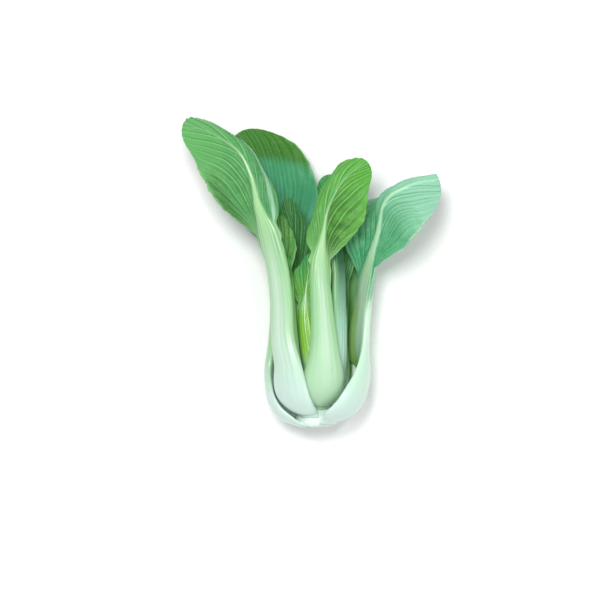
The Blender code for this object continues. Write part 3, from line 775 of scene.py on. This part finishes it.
@dataclass
class Leaf:
    """One leaf of the head, as one skin.

    azimuth is where it leaves the stem, in degrees round the axis: 0 is to the right and
    90 is up. start is how high on the stem it grows, and bulge is how far from the axis
    its stalk swells. path holds the middle of the leaf above that, as (right, along, up)
    from the axis. widths are the stalk's half widths at the stem, just above it, at the
    bulge, above the bulge and at the neck, and lean moves its middle sideways there.
    neck is how far along the leaf its blade starts. turns are the twist of the leaf about
    its own length, in degrees, as (share of blade, turn). half_widths, folds and curl are
    for the blade's two wings, the one on the side that faces round the axis first. A fold
    is held as (share of blade, degrees), and curl is the degrees that a whole wing bends
    by: positive closes it over its inner face. bow is how far the blade's rows bend back
    towards the margins at the tip, as a share of its length, and late is the share of the
    blade that each wing stays narrow for.
    """

    name: str
    azimuth: float
    start: float
    bulge: float
    path: tuple[Triple, ...]
    widths: tuple[float, ...]
    neck: float
    half_widths: Pair
    finish: LeafFinish
    lean: tuple[float, ...] = (0.0, 0.0, 0.0, 0.0, 0.0)
    turns: Keys = ((0.0, 0.0), (1.0, 0.0))
    folds: tuple[Keys, Keys] = (((0.0, 0.0), (1.0, 0.0)), ((0.0, 0.0), (1.0, 0.0)))
    curl: Pair = (30.0, 30.0)
    bow: float = 0.24
    late: Pair = (0.0, 0.0)
    ruffle: float = 1.2
    phase: float = 0.0
    thickness: float = 1.0
    stalk_rows: int = 70
    blade_rows: int = 84
    columns: int = 72
    slot: Slot = Slot.BLADE

    def grow_spine(self, stem: StemBase) -> None:
        """Works out the leaf's spine and its directions, from a dip into the stem.

        Args:
            stem: the stem that the leaf grows from.
        """
        turn = math.radians(self.azimuth)
        radial = np.array([math.cos(turn), 0.0, math.sin(turn)])
        first = stem.radius(self.start) + GROWTH.stem_gap
        sweep = GROWTH.bowl_sweep * math.sqrt(self.bulge / GROWTH.widest_bulge)
        rises = np.linspace(0.0, 1.0, GROWTH.bowl_knots) ** GROWTH.bowl_crowding
        rises = rises * (GROWTH.bowl_top - self.start)
        radii = first + (self.bulge - first) * (1.0 - np.exp(-rises / sweep))
        sunk = self.start - min(GROWTH.foot_dip, self.start - GROWTH.lowest_foot)
        bowl = [(stem.radius(sunk) - GROWTH.foot_sink, sunk), *zip(radii, self.start + rises)]
        knots = [radial * radius + np.array([0.0, height, 0.0]) for radius, height in bowl]
        knots = np.array([*knots, *self.path])
        marks = travelled(knots)
        marks -= marks[1]
        reading = np.linspace(marks[0], marks[-1], GROWTH.spine_samples)
        self.points = through(marks, knots, reading)
        along = travelled(self.points)
        self.along = along - np.interp(0.0, reading, along)
        self.dip = -self.along[0]
        self.blade = self.along[-1] - self.neck
        spread = [self.neck + step for step in GROWTH.chord_spread]
        reach = np.interp(self.along, spread, GROWTH.chord_reach)
        ahead, behind = (
            np.array([np.interp(self.along + way, self.along, row) for row in self.points.T]).T
            for way in (reach, -reach)
        )
        self.tangents = unit(ahead - behind)
        carried = [radial - self.tangents[0] * (radial @ self.tangents[0])]
        for tangent in self.tangents[1:]:
            carried.append(carried[-1] - tangent * (carried[-1] @ tangent))
        carried = unit(np.array(carried))
        turned = np.radians(curve(self.turns, self.share(self.along)))[:, None]
        side = np.cross(carried, self.tangents)
        self.outwards = carried * np.cos(turned) + side * np.sin(turned)

    def share(self, along: Array) -> Array:
        """How far up the blade a distance along the leaf is, 0 at the neck and 1 at the tip."""
        return (along - self.neck) / self.blade

    def spine_frame(self, along: Array) -> tuple[Array, Array, Array]:
        """The spine's points, outward and sideways directions.

        Args:
            along: distances along the leaf.

        Returns:
            Three arrays with one row for each distance.
        """
        point, tangent, outward = (
            np.array([np.interp(along, self.along, column) for column in rows.T]).T
            for rows in (self.points, self.tangents, self.outwards)
        )
        tangent = unit(tangent)
        outward = unit(outward - tangent * np.sum(outward * tangent, axis=1)[:, None])
        return point, outward, np.cross(outward, tangent)

    def rib_half_width(self, along: Array) -> Array:
        """The half width of the stalk, and of the midrib above the neck.

        Args:
            along: distances along the leaf.

        Returns:
            The half widths.
        """
        marks = (*GROWTH.width_marks, self.neck)
        stalk = through(marks, self.widths, along)[:, 0]
        rib = self.widths[-1] * straight(GROWTH.rib_width, self.share(along))
        return np.where(along <= self.neck, stalk, rib)

    def lean_at(self, along: Array) -> Array:
        """How far sideways the middle of the stalk is from the spine."""
        return through((*GROWTH.width_marks, self.neck), self.lean, along)[:, 0]

    def depths(self, along: Array) -> list[Array]:
        """How far the stalk or midrib stands out on its outer and its inner side.

        Args:
            along: distances along the leaf.

        Returns:
            The outer and the inner depths.
        """
        share = self.share(along)
        on_rib = ease(along, self.neck - GROWTH.wing_start, self.neck)
        return [
            (straight(stalk, along) * (1.0 - on_rib) + straight(rib, share) * on_rib)
            * self.thickness
            for stalk, rib in (
                (GROWTH.stalk_outer, GROWTH.rib_outer),
                (GROWTH.stalk_inner, GROWTH.rib_inner),
            )
        ]

    def wing_width(self, share: Array, second: Array) -> Array:
        """A wing's width from the spine, widest past its middle and blunt at the tip.

        Args:
            share: shares of the blade.
            second: whether it is the second wing.

        Returns:
            The widths.
        """
        late = each_wing(second, self.late)
        share = np.clip((share - late) / (1.0 - late), 0.0, 1.0)
        widest = each_wing(second, self.half_widths)
        rising = np.sin(math.pi / 2 * np.minimum(share / GROWTH.widest_share, 1.0))
        past = np.maximum(share - GROWTH.widest_share, 0.0) / (1.0 - GROWTH.widest_share)
        closing = 1.0 - (1.0 - GROWTH.tip_width) * past**2
        return widest * rising**GROWTH.opening * closing

    def free_surface(self, along: Array, across: Array) -> tuple[Array, Array]:
        """The surface of a leaf that stands free: arcs across it, with folds and waves.

        Args:
            along: distances along the leaf.
            across: distances from the spine, positive towards the first wing.

        Returns:
            The points and the outward normals.
        """
        point, outward, side = self.spine_frame(along)
        second = across < 0.0
        sign = each_wing(second, (1.0, -1.0))
        radius = np.maximum(np.hypot(point[:, 0], point[:, 2]), GROWTH.smallest_wrap_radius)
        marks = (*GROWTH.wrap_from, self.neck + GROWTH.wrap_past_neck)
        curvature = np.interp(along, marks, GROWTH.wrap_shares) / radius
        rib = self.rib_half_width(along) + sign * self.lean_at(along)
        inside = np.minimum(np.abs(across), rib)
        sideways, inward = arc(np.zeros_like(along), curvature, inside)
        heading = curvature * inside
        past = np.maximum(np.abs(across) - rib, 0.0)
        share = np.clip(self.share(along), 0.0, 1.0)
        eased = np.minimum(1.0, share / GROWTH.full_bend_share)
        folds = tuple(curve(keys, share) for keys in self.folds)
        fold = np.radians(each_wing(second, folds)) * eased
        widest = each_wing(second, self.half_widths)
        bend = np.radians(each_wing(second, self.curl)) / widest * eased
        left = past.copy()
        bends = (
            (GROWTH.fold_start, np.zeros_like(fold)),
            (GROWTH.fold_span, fold / GROWTH.fold_span),
            (np.inf, bend),
        )
        for span, curved in bends:
            length = np.minimum(left, span)
            more = arc(heading, curved, length)
            sideways += more[0]
            inward += more[1]
            heading = heading + curved * length
            left -= length
        turn = 2 * math.pi * GROWTH.ruffle_waves * share + self.phase
        turn = turn + second * GROWTH.ruffle_shift
        out = past / widest
        size, faster, later = GROWTH.second_ruffle
        wave = np.sin(turn) * out**2 + size * np.sin(faster * turn + later) * out**4
        wave *= self.ruffle * eased
        normal = outward * np.cos(heading)[:, None] + side * (sign * np.sin(heading))[:, None]
        place = point + side * (sign * sideways)[:, None] - outward * inward[:, None]
        return place + normal * wave[:, None], normal

    def surface(self, along: Array, across: Array) -> tuple[Array, Array]:
        """Points of the leaf's middle surface and the outward normals there.

        Args:
            along: distances along the leaf.
            across: distances from the spine, positive towards the first wing.

        Returns:
            The points and the normals, from a bowl near the stem to a free leaf.
        """
        point, outward, _ = self.spine_frame(along)
        turn = -across / np.maximum(np.hypot(point[:, 0], point[:, 2]), 1.0)
        cos, sin = np.cos(turn), np.sin(turn)
        bowl = (
            np.array((cos * x + sin * z, y, -sin * x + cos * z)).T
            for x, y, z in (point.T, outward.T)
        )
        free = ease(along, GROWTH.round_until, GROWTH.free_from)[:, None]
        place, normal = (
            away * free + near * (1.0 - free)
            for away, near in zip(self.free_surface(along, across), bowl)
        )
        return place, unit(normal)

    def lay_out(self, rows: Array, columns: Array) -> Spots:
        """Where each corner of the skin's grid lies on the leaf.

        Args:
            rows: row numbers, 0 at the foot.
            columns: places across, from -1 to 1.

        Returns:
            along, across, u (across in stalk half widths), past (millimetres from the
            stalk's or midrib's edge), reach (share of the wing), wing (its width), opened
            (0 on the stalk and 1 on the blade) and second (1 on that wing).
        """
        above = np.maximum(rows - self.stalk_rows, 0.0) / self.blade_rows
        below = np.minimum(rows / self.stalk_rows, 1.0)
        along = below * (self.neck + self.dip) - self.dip + above * self.blade
        share = np.clip(self.share(along), 0.0, 1.0)
        second = columns < 0.0
        sign = each_wing(second, (1.0, -1.0))
        opened = ease(along, self.neck - GROWTH.wing_start, self.neck + GROWTH.wing_start)
        rib_columns = 1.0 - (1.0 - GROWTH.rib_columns) * opened
        out = np.clip((np.abs(columns) - rib_columns) / np.maximum(1.0 - rib_columns, 1e-6), 0, 1)
        u = np.minimum(np.abs(columns) / rib_columns, 1.0)
        u = np.sin(math.pi / 2 * u) * (1.0 - opened) + u * opened
        rib = self.rib_half_width(along)
        neck_wing = GROWTH.neck_wing * ease(along, self.neck - GROWTH.wing_start, self.neck)
        late = each_wing(second, self.late)
        begun = ease(share, late - GROWTH.late_rise, np.maximum(late, MM))
        neck_wing = neck_wing * np.where(late > 0.0, GROWTH.late_rim + begun, 1.0)
        wing = np.maximum(self.wing_width(share, second) - rib, neck_wing)
        along = along - self.bow * share**2 * self.blade * out**2
        rib = self.rib_half_width(along)
        fine, coarse = GROWTH.scallops
        scallops = np.sin(along / fine) + np.sin(along / coarse + sign)
        past = wing * out + GROWTH.scallop_depth * scallops * out**6 * opened
        inside = np.abs(columns) <= rib_columns
        reach = np.where(inside, u * rib, rib + past)
        return {
            "along": along,
            "across": self.lean_at(along) + sign * reach,
            "u": reach / rib,
            "past": np.where(inside, (u - 1.0) * rib, past),
            "reach": out,
            "wing": wing,
            "opened": opened,
            "second": second.astype(float),
        }

    def vein_turns(self, spot: Spots) -> Array:
        """Counts side veins: it is a half past a whole number on the middle of a vein.

        Side veins leave the midrib alternately, close to its own direction, fan out from
        the neck, where they are dense, and bend outwards on their way to the margin.

        Args:
            spot: the layout.

        Returns:
            The count at each corner.
        """
        swept = self.share(spot["along"]) - GROWTH.vein_sweep * spot["reach"] ** GROWTH.vein_bend
        turns = swept * self.blade / GROWTH.vein_spacing + 0.5 * spot["second"] + self.phase
        wander = np.zeros_like(turns)
        for size, along_vein, from_vein in GROWTH.vein_wander:
            wander += size * np.sin(along_vein * spot["reach"] + from_vein * turns)
        return turns + wander * ease(spot["reach"], 0.0, GROWTH.wander_full)

    def vein_gap(self, spot: Spots) -> Array:
        """How many millimetres lie between two side veins, measured across the wing."""
        across = spot["wing"] * GROWTH.vein_spacing / (GROWTH.vein_sweep * self.blade)
        return np.minimum(across, GROWTH.vein_spacing)

    def half_thickness(self, spot: Spots, veins: Array) -> Array:
        """How far the skin's outer and inner face stand off the middle surface.

        Args:
            spot: the layout.
            veins: the count of side veins.

        Returns:
            Two rows of millimetres: outer and inner.
        """
        u, opened, reach = spot["u"], spot["opened"], spot["reach"]
        shoulder, steepness = GROWTH.rib_shoulder
        swell = np.sqrt(np.clip(1.0 - u**2, 0.0, 1.0))
        bell = 1.0 / (1.0 + (u / shoulder) ** steepness)
        rounded = np.sqrt(np.clip(1.0 - u**GROWTH.edge_roundness, 0.0, 1.0))
        edge = GROWTH.rim + (GROWTH.stalk_edge - GROWTH.rim) * rounded
        sheet = GROWTH.blade_half * (1.0 - GROWTH.margin_thinning * reach**6)
        base = edge * (1.0 - opened) + sheet * opened
        shape = swell * (1.0 - opened) + bell * opened
        outer, inner = self.depths(spot["along"])
        foot = ease(spot["along"], -self.dip, GROWTH.foot_full)
        foot = GROWTH.foot_share + (1.0 - GROWTH.foot_share) * foot
        flutes = np.cos(2 * math.pi * GROWTH.flutes * u + self.phase)
        flutes *= (1.0 - np.minimum(u, 1.0) ** 2) * GROWTH.flute_depth
        flutes *= ease(spot["along"], *GROWTH.flutes_from) * (1.0 - opened)
        off = np.abs(veins % 1.0 - 0.5)
        width = GROWTH.vein_width * (GROWTH.vein_taper - reach)
        height = np.minimum(GROWTH.vein_height, GROWTH.pleat_share * self.vein_gap(spot))
        ridge = height * np.exp(-((off / width) ** 2)) * (GROWTH.vein_fade - reach)
        ridge *= opened * (spot["past"] > 0.0)
        inner_face = base + shape * inner - GROWTH.inner_vein * ridge
        return np.array((base + shape * outer * foot + ridge + flutes, inner_face))

    def build(self) -> Object:
        """Builds the leaf as one closed skin, from a flat slab that is laid on its surface.

        Returns:
            The leaf.
        """
        shape = bmesh.new()
        rows = self.stalk_rows + self.blade_rows
        bmesh.ops.create_grid(shape, x_segments=self.columns, y_segments=rows, size=0.5)
        bmesh.ops.solidify(shape, geom=list(shape.faces), thickness=0.1)
        flat = np.array([corner.co for corner in shape.verts])
        lifted = flat[:, 2] > (flat[:, 2].min() + flat[:, 2].max()) / 2
        row = np.round((flat[:, 1] + 0.5) * rows)
        column = np.round((flat[:, 0] + 0.5) * self.columns) / self.columns * 2.0 - 1.0
        spot = self.lay_out(row, column)
        veins = self.vein_turns(spot)
        place, normal = self.surface(spot["along"], spot["across"])
        thick = self.half_thickness(spot, veins)
        pleat = np.minimum(GROWTH.pleat, GROWTH.pleat_share * self.vein_gap(spot))
        pleat *= -np.cos(2 * math.pi * veins) * spot["opened"]
        pleat *= ease(spot["reach"], 0.0, GROWTH.pleat_full)
        pleat *= np.sqrt(1.0 - GROWTH.pleat_fade * spot["reach"])
        offset = np.where(lifted, thick[0], -thick[1]) + pleat
        place = place + normal * offset[:, None] + AXIS
        lowest = GROWTH.table_gap + np.where(lifted, 0.0, thick[0] + thick[1])
        place[:, 2] = np.maximum(place[:, 2], lowest)
        for corner, spread in zip(shape.verts, place):
            corner.co = Vector(spread) * MM
        bmesh.ops.recalc_face_normals(shape, faces=shape.faces)
        piece = add_piece(f"leaf_{self.name}_skin", shape, self.finish.make(self.name))
        along, neck = spot["along"], self.neck
        painted = {
            "growth": np.where(along < neck, along / neck, 1.0 + self.share(along)),
            "past": spot["past"],
            "vein": veins,
            "reach": spot["reach"] * spot["opened"],
            "across": np.minimum(spot["u"], GROWTH.painted_across),
            "outer": np.where(lifted, Face.OUTER.value, Face.INNER.value),
            "wing": spot["second"],
            "side": np.minimum(spot["u"], 1.0) * (1.0 - spot["opened"]),
        }
        for name, values in painted.items():
            layer = piece.data.attributes.new(name, "FLOAT", "POINT")
            layer.data.foreach_set("value", values.astype(np.float32))
        skin = piece.data.uv_layers.new(name="Skin")
        corners = np.zeros(len(piece.data.loops), int)
        piece.data.loops.foreach_get("vertex_index", corners)
        spread = np.array((spot["across"], along)).T * MM
        skin.data.foreach_set("uv", spread[corners].astype(np.float32).ravel())
        return piece

    def dress(self, stem: StemBase) -> Object:
        """Grows the leaf and puts it in the place of its two solids.

        Args:
            stem: the stem that the leaf grows from.

        Returns:
            The leaf.
        """
        self.grow_spine(stem)
        piece = self.build()
        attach(piece, BODY)
        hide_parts(f"leaf_{self.name}_stalk", f"leaf_{self.name}_blade")
        return piece


# The twelve leaves of the head, the outer ones first, each with its name, azimuth, start
# and bulge, and what it doesn't share with the others.
LEAVES = (
    Leaf(
        "left_front", 128, 8.5, 28.2,
        path=(
            (-20, 52, 21), (-20.7, 74, 21.5), (-23.8, 99, 23.5), (-28.4, 116, 26.5),
            (-34.6, 133, 29.5), (-38.7, 150, 31), (-45.2, 163, 30), (-57, 172.3, 25),
            (-79, 181.8, 14),
        ),
        widths=(6, 9.5, 12.5, 10, 7.6), lean=(-3, -2, 0, 0, 0), neck=106, half_widths=(27, 24.5),
        turns=((0, 0), (0.4, -32), (1, -38)),
        folds=(((0, -4), (1, -4)), ((0, 48), (0.35, 68), (0.55, 76), (1, 58))), curl=(12, 46),
        bow=0.18, late=(0, 0.07), ruffle=1.4,
        # Its first wing gets painted shade near its lower margin and its second wing a painted
        # highlight band.
        finish=LeafFinish(
            hem_shade_share=0.85, blade="#408a49", second_blade="#348a50", light="#5f9f64",
            tip="#62ab63", furrow_shade="#26662f", fold_highlight_share=0.7, neck="#a3d0a2", rib="#a4d198",
        ),
        blade_rows=110, columns=96,
    ),
    Leaf(
        "right", 14, 5, 29.8,
        path=(
            (28.2, 52, 4), (28.9, 74, 3), (30.7, 90, 4), (33.8, 104, 6), (37.2, 116, 9),
            (38.6, 124.5, 11.6), (39.8, 131.5, 14), (44, 138, 16.5), (52.5, 143, 17.5),
            (61.5, 146.2, 16.2), (73.5, 148, 12.5),
        ),
        widths=(10, 14.5, 17, 16.5, 9.6), lean=(3.5, 6.5, 4.5, -3.8, 0), neck=80,
        half_widths=(30, 26), bow=0.1, late=(0.15, 0),
        turns=((-0.6, -8), (-0.24, -28), (0, -36), (0.12, -42), (0.42, -66), (1, -78)),
        folds=(
            ((0, 4), (1, 4)),
            ((0, 52), (0.15, 52), (0.28, 42), (0.42, 8), (0.6, -65), (0.75, -92), (1, -92)),
        ),
        curl=(14, -10), ruffle=1.4, phase=1.1,
        # Its stalk's inner face gets painted shade, and its middle a weaker painted highlight.
        finish=LeafFinish(
            second_fork_share=0.15, crest_highlight_share=0.25, stalk="#bfe6ca", neck="#d4f0d6",
            rib="#b6e2b6", rib_tip="#aadcba", edge="#c9e9d2", fibre="#b8dcc4", blade="#429c6c",
            second_blade="#2f9460", light="#6fb692", tip="#90c8ae", furrow_shade="#33885a",
            vein="#b4dec2", inner_stalk="#93c94f", inner_stalk_shade_share=0.75, inner_from=(0.12, -0.3),
            inner_share=0, vein_share=0.75, neck_share=0.2,
        ),
        blade_rows=110, columns=96,
    ),
    Leaf(
        # Its first margin stands up to 3.4 mm further out than its solid's, over
        # the gap beside the leaf on the right.
        "under_right", 300, 5.8, 27.6,
        path=(
            (15, 52, -22), (16, 80, -21.4), (17, 100, -22.2), (16.5, 120, -23.2), (12, 138, -23.8),
            (6, 152, -22.5),
        ),
        widths=(6.8, 11, 13, 12.2, 9), lean=(0, 0, -0.8, -0.8, 0), neck=88, half_widths=(20, 20),
        turns=((-0.6, 0), (0, -22), (1, -30)), curl=(12, 12), ruffle=1, phase=2,
        # Its dark neck and midrib and the green on its stalk's inner face are painted shade, for
        # where it shows in the gap beside the right leaf.
        finish=LeafFinish(
            neck="#5a9650", rib="#417c3c", rib_tip="#4f9045", crest_highlight_share=0, stalk_coat=0.03,
            stalk_roughness=0.6, inner_stalk="#4a8438", inner_stalk_shade_share=0.95,
            inner_from=(1.6, 1.2), blade="#2b7641", light="#488f58",
        ),
    ),
    Leaf(
        "left_back", 205, 3, 28.2,
        path=(
            (-23, 52, -8.5), (-21, 80, -9.5), (-20.5, 105, -12.5), (-22, 125, -15.5),
            (-27.5, 145, -14.5), (-35.5, 162, -11), (-47.5, 176.5, -8),
        ),
        widths=(12, 16.5, 17, 11, 8.5), lean=(-4, -5.5, -4, -3, 0), neck=100,
        half_widths=(27.5, 27.5), turns=((-0.6, 0), (0, 30), (0.4, 62), (1, 65)), curl=(24, 16),
        bow=0.15, ruffle=1.3, phase=0.4,
        finish=LeafFinish(
            furrow_shade_share=0.3, margin_share=0, blade="#3c9468", light="#4ba07c", tip="#376e0c",
            furrow_shade="#2a724c", vein="#7cbd90", rib="#52a074", rib_tip="#458a3e", inner_share=0,
            vein_share=0.22, neck_share=0, tip_from=(1.72, 1.83), tip_margin=0.2,
        ),
        blade_rows=110, columns=96,
    ),
    Leaf(
        "centre_front", 76, 13.4, 22.6,
        path=(
            (4.8, 52, 22), (3.2, 74, 23), (2, 99, 24), (4.4, 117, 26.5), (6.6, 129, 29),
            (11, 139, 31), (18.3, 149.5, 32), (30.8, 157.5, 29.5),
        ),
        widths=(6.5, 12, 13.6, 9.7, 5.7), neck=86, half_widths=(20.5, 22.5),
        turns=((0, 0), (0.3, 8), (1, 8)), folds=(((0, 24), (0.2, 52), (1, 62)), ((0, 0), (1, 0))),
        curl=(80, 8), bow=0.17, late=(0.08, 0), phase=2.6,
        finish=LeafFinish(
            crest_highlight_share=0.4, stalk="#a4cfa4", foot="#b4d8b6", blade="#589e52",
            second_blade="#336e1e", light="#62ac46", margin_share=0.7, tip="#57a43f",
            furrow_shade="#2c6a1c", vein="#96c878", rib="#a8d29c",
        ),
        blade_rows=100, columns=96,
    ),
    Leaf(
        "under_left", 250, 11, 21.8,
        path=(
            (-7.5, 52, -20.3), (-11, 80, -21.5), (-16, 100, -22.2), (-20, 120, -23.3),
            (-24, 138, -23.8), (-28, 152, -22.8),
        ),
        widths=(6.5, 10.5, 12.5, 10, 7), neck=82, half_widths=(15.5, 15.5),
        turns=((-0.6, 0), (0, 14), (1, 18)), curl=(14, 14), ruffle=0.8, phase=3,
        finish=LeafFinish(blade="#2b7641", light="#488f58"),
    ),
    Leaf(
        "inner_right", 330, 14.5, 18.6,
        path=(
            (14.3, 52, -9.3), (14.8, 70, -9.5), (15.5, 90, -10.5), (16.5, 110, -11.5),
            (19, 130, -11), (22, 145, -9.5),
        ),
        widths=(5, 8, 9.5, 7, 5), neck=62, half_widths=(9, 13),
        turns=((-0.6, 0), (-0.35, -10), (0.1, -28), (1, -50)), curl=(24, 24), ruffle=0.9,
        thickness=0.85,
        # Its dark stalk, neck and midrib greens are painted shade, for where it shows deep between
        # the stalks.
        finish=LeafFinish(
            stalk="#64964f", neck="#4f8a40", stalk_coat=0.15, rib="#3f7c36", crest_highlight_share=0.1,
            blade="#2f7440", light="#4d9455",
        ),
    ),
    Leaf(
        "inner_front", 34, 17.8, 17,
        path=((14.2, 52, 9.5), (13.8, 74, 10), (13.4, 95, 9.5), (12, 112, 8.6), (11.2, 126, 7)),
        widths=(4, 7.5, 9.5, 7.6, 5.2), neck=90, half_widths=(10.5, 8.4),
        turns=((0, 0), (0.5, 10), (1, 10)), curl=(24, 24), ruffle=0.7, thickness=0.8,
        finish=LeafFinish(
            neck_share=0.2, stalk="#9acbb2", neck="#24573a", stalk_coat=0.15, rib="#26583f",
            crest_highlight_share=0.05, blade="#26583f",
        ),
    ),
    Leaf(
        "inner_left", 152, 17.8, 16,
        path=((-14.6, 52, 7.8), (-16, 80, 9.5), (-18.5, 105, 10.5), (-21, 127, 11)),
        widths=(4, 6.5, 8, 6, 4.2), neck=74, half_widths=(9, 9),
        turns=((0, 0), (0.5, -20), (1, -24)), ruffle=0.6, thickness=0.7,
        finish=LeafFinish(
            stalk="#a8cf94", neck="#7fb964", rib="#66a03c", rib_tip="#508c30", blade="#4f8a28",
            second_blade="#46802a", tip="#438430",
        ),
        slot=Slot.INNER_BLADE,
    ),
    Leaf(
        "heart_back", 235, 19.5, 12.5,
        path=(
            (-8, 52, -7.5), (-10, 80, -4.5), (-12, 105, -1.5), (-15, 125, 0.5), (-17.5, 138, 0.5),
        ),
        widths=(3.5, 5.5, 7, 5.5, 4.2), neck=70, half_widths=(11, 11),
        turns=((0, 0), (0.5, 24), (1, 30)), curl=(36, 36), ruffle=0.8, thickness=0.7,
        finish=LeafFinish(
            stalk="#9ac680", neck="#6fab52", rib="#44863a", rib_tip="#2f7031", blade="#2a6c33",
            second_blade="#4c9642", light="#428548", tip="#2a6c33",
        ),
        slot=Slot.INNER_BLADE,
    ),
    Leaf(
        "heart_front", 100, 21.5, 11,
        path=((-5, 50, 10), (-6.8, 68, 9.5), (-5.5, 86, 8.5), (-3, 104, 8)),
        widths=(2.6, 4.5, 6, 5, 3.8), neck=50, half_widths=(9, 9), turns=((0, 0), (1, -10)),
        curl=(40, 40), ruffle=0.6, thickness=0.65,
        finish=LeafFinish(
            crest_highlight_share=0.1, stalk="#98d044", neck="#7bbd28", blade="#66a824",
            second_blade="#72b62c",
        ),
        slot=Slot.INNER_BLADE,
    ),
    Leaf(
        "heart_bud", 330, 22.5, 6,
        path=((4.5, 46, -2.5), (3, 66, -2), (1.5, 84, -2), (1, 98, -1.5)),
        widths=(2, 3, 4.2, 4.2, 3.2), neck=42, half_widths=(8.2, 8.2), curl=(50, 50), ruffle=0.5,
        thickness=0.55,
        finish=LeafFinish(crest_highlight_share=0.1, stalk="#a4d068", neck="#8fca4a", blade="#84be34"),
        slot=Slot.INNER_BLADE,
    ),
)


@dataclass
class Studio:
    """A white floor, soft light and a camera straight above the head.

    The photograph is 600 pixels wide and shows 0.6 mm in a pixel. middle_px is its middle
    and stem_px the pixel of the stem's cut end on the head's axis.
    """

    width_px: int = 600
    mm_per_px: float = 0.6
    middle_px: Pair = (300.0, 300.0)
    stem_px: Pair = (316.0, 427.0)
    distance: float = 2.0
    aim_height: float = 0.03
    sensor_mm: float = 36.0
    floor_size: float = 6.0
    world_strength: float = 0.44
    lights: tuple = (
        ("Key softbox", (-0.2, 0.35, 1.6), 0.5, 19.5),
        ("Fill softbox", (0.9, -0.5, 1.4), 1.4, 8.0),
    )

    def floor(self) -> None:
        """Lays the white floor that the head lies on."""
        shape = bmesh.new()
        bmesh.ops.create_grid(shape, x_segments=1, y_segments=1, size=self.floor_size / 2)
        add_piece("floor", shape, FloorFinish().make())

    def camera(self) -> None:
        """Hangs the camera over the middle of the photograph's view."""
        seen = self.width_px * self.mm_per_px * MM
        right = AXIS[0] + (self.middle_px[0] - self.stem_px[0]) * self.mm_per_px
        back = AXIS[1] + (self.stem_px[1] - self.middle_px[1]) * self.mm_per_px
        lens = bpy.data.cameras.new("Camera")
        lens.sensor_width = self.sensor_mm
        lens.lens = self.sensor_mm * self.distance / seen
        holder = add_object("Camera", lens)
        holder.location = (right * MM, back * MM, self.aim_height + self.distance)
        bpy.context.scene.camera = holder

    def light(self) -> None:
        """Hangs the softboxes and fills the room with white light."""
        for name, place, size, power in self.lights:
            lamp = bpy.data.lights.new(name, "AREA")
            lamp.shape = "SQUARE"
            lamp.size = size
            lamp.energy = power
            holder = add_object(name, lamp)
            holder.location = place
            holder.rotation_euler = (-Vector(place)).to_track_quat("-Z", "Y").to_euler()
        room = bpy.data.worlds.new("White room")
        room.use_nodes = True
        back = room.node_tree.nodes["Background"]
        back.inputs["Color"].default_value = linear("#ffffff")
        back.inputs["Strength"].default_value = self.world_strength
        bpy.context.scene.world = room
        bpy.context.scene.view_settings.view_transform = "Standard"

    def set_up(self) -> None:
        """Sets up the whole studio."""
        self.floor()
        self.camera()
        self.light()


def main() -> None:
    """Builds the stem, the leaves and the studio."""
    stem = StemBase()
    for piece in [stem.dress()] + [leaf.dress(stem) for leaf in LEAVES]:
        LOG.info("%s: %d faces", piece.name, len(piece.data.polygons))
    Studio().set_up()
    bpy.context.view_layer.update()


if __name__ == "__main__":
    main()
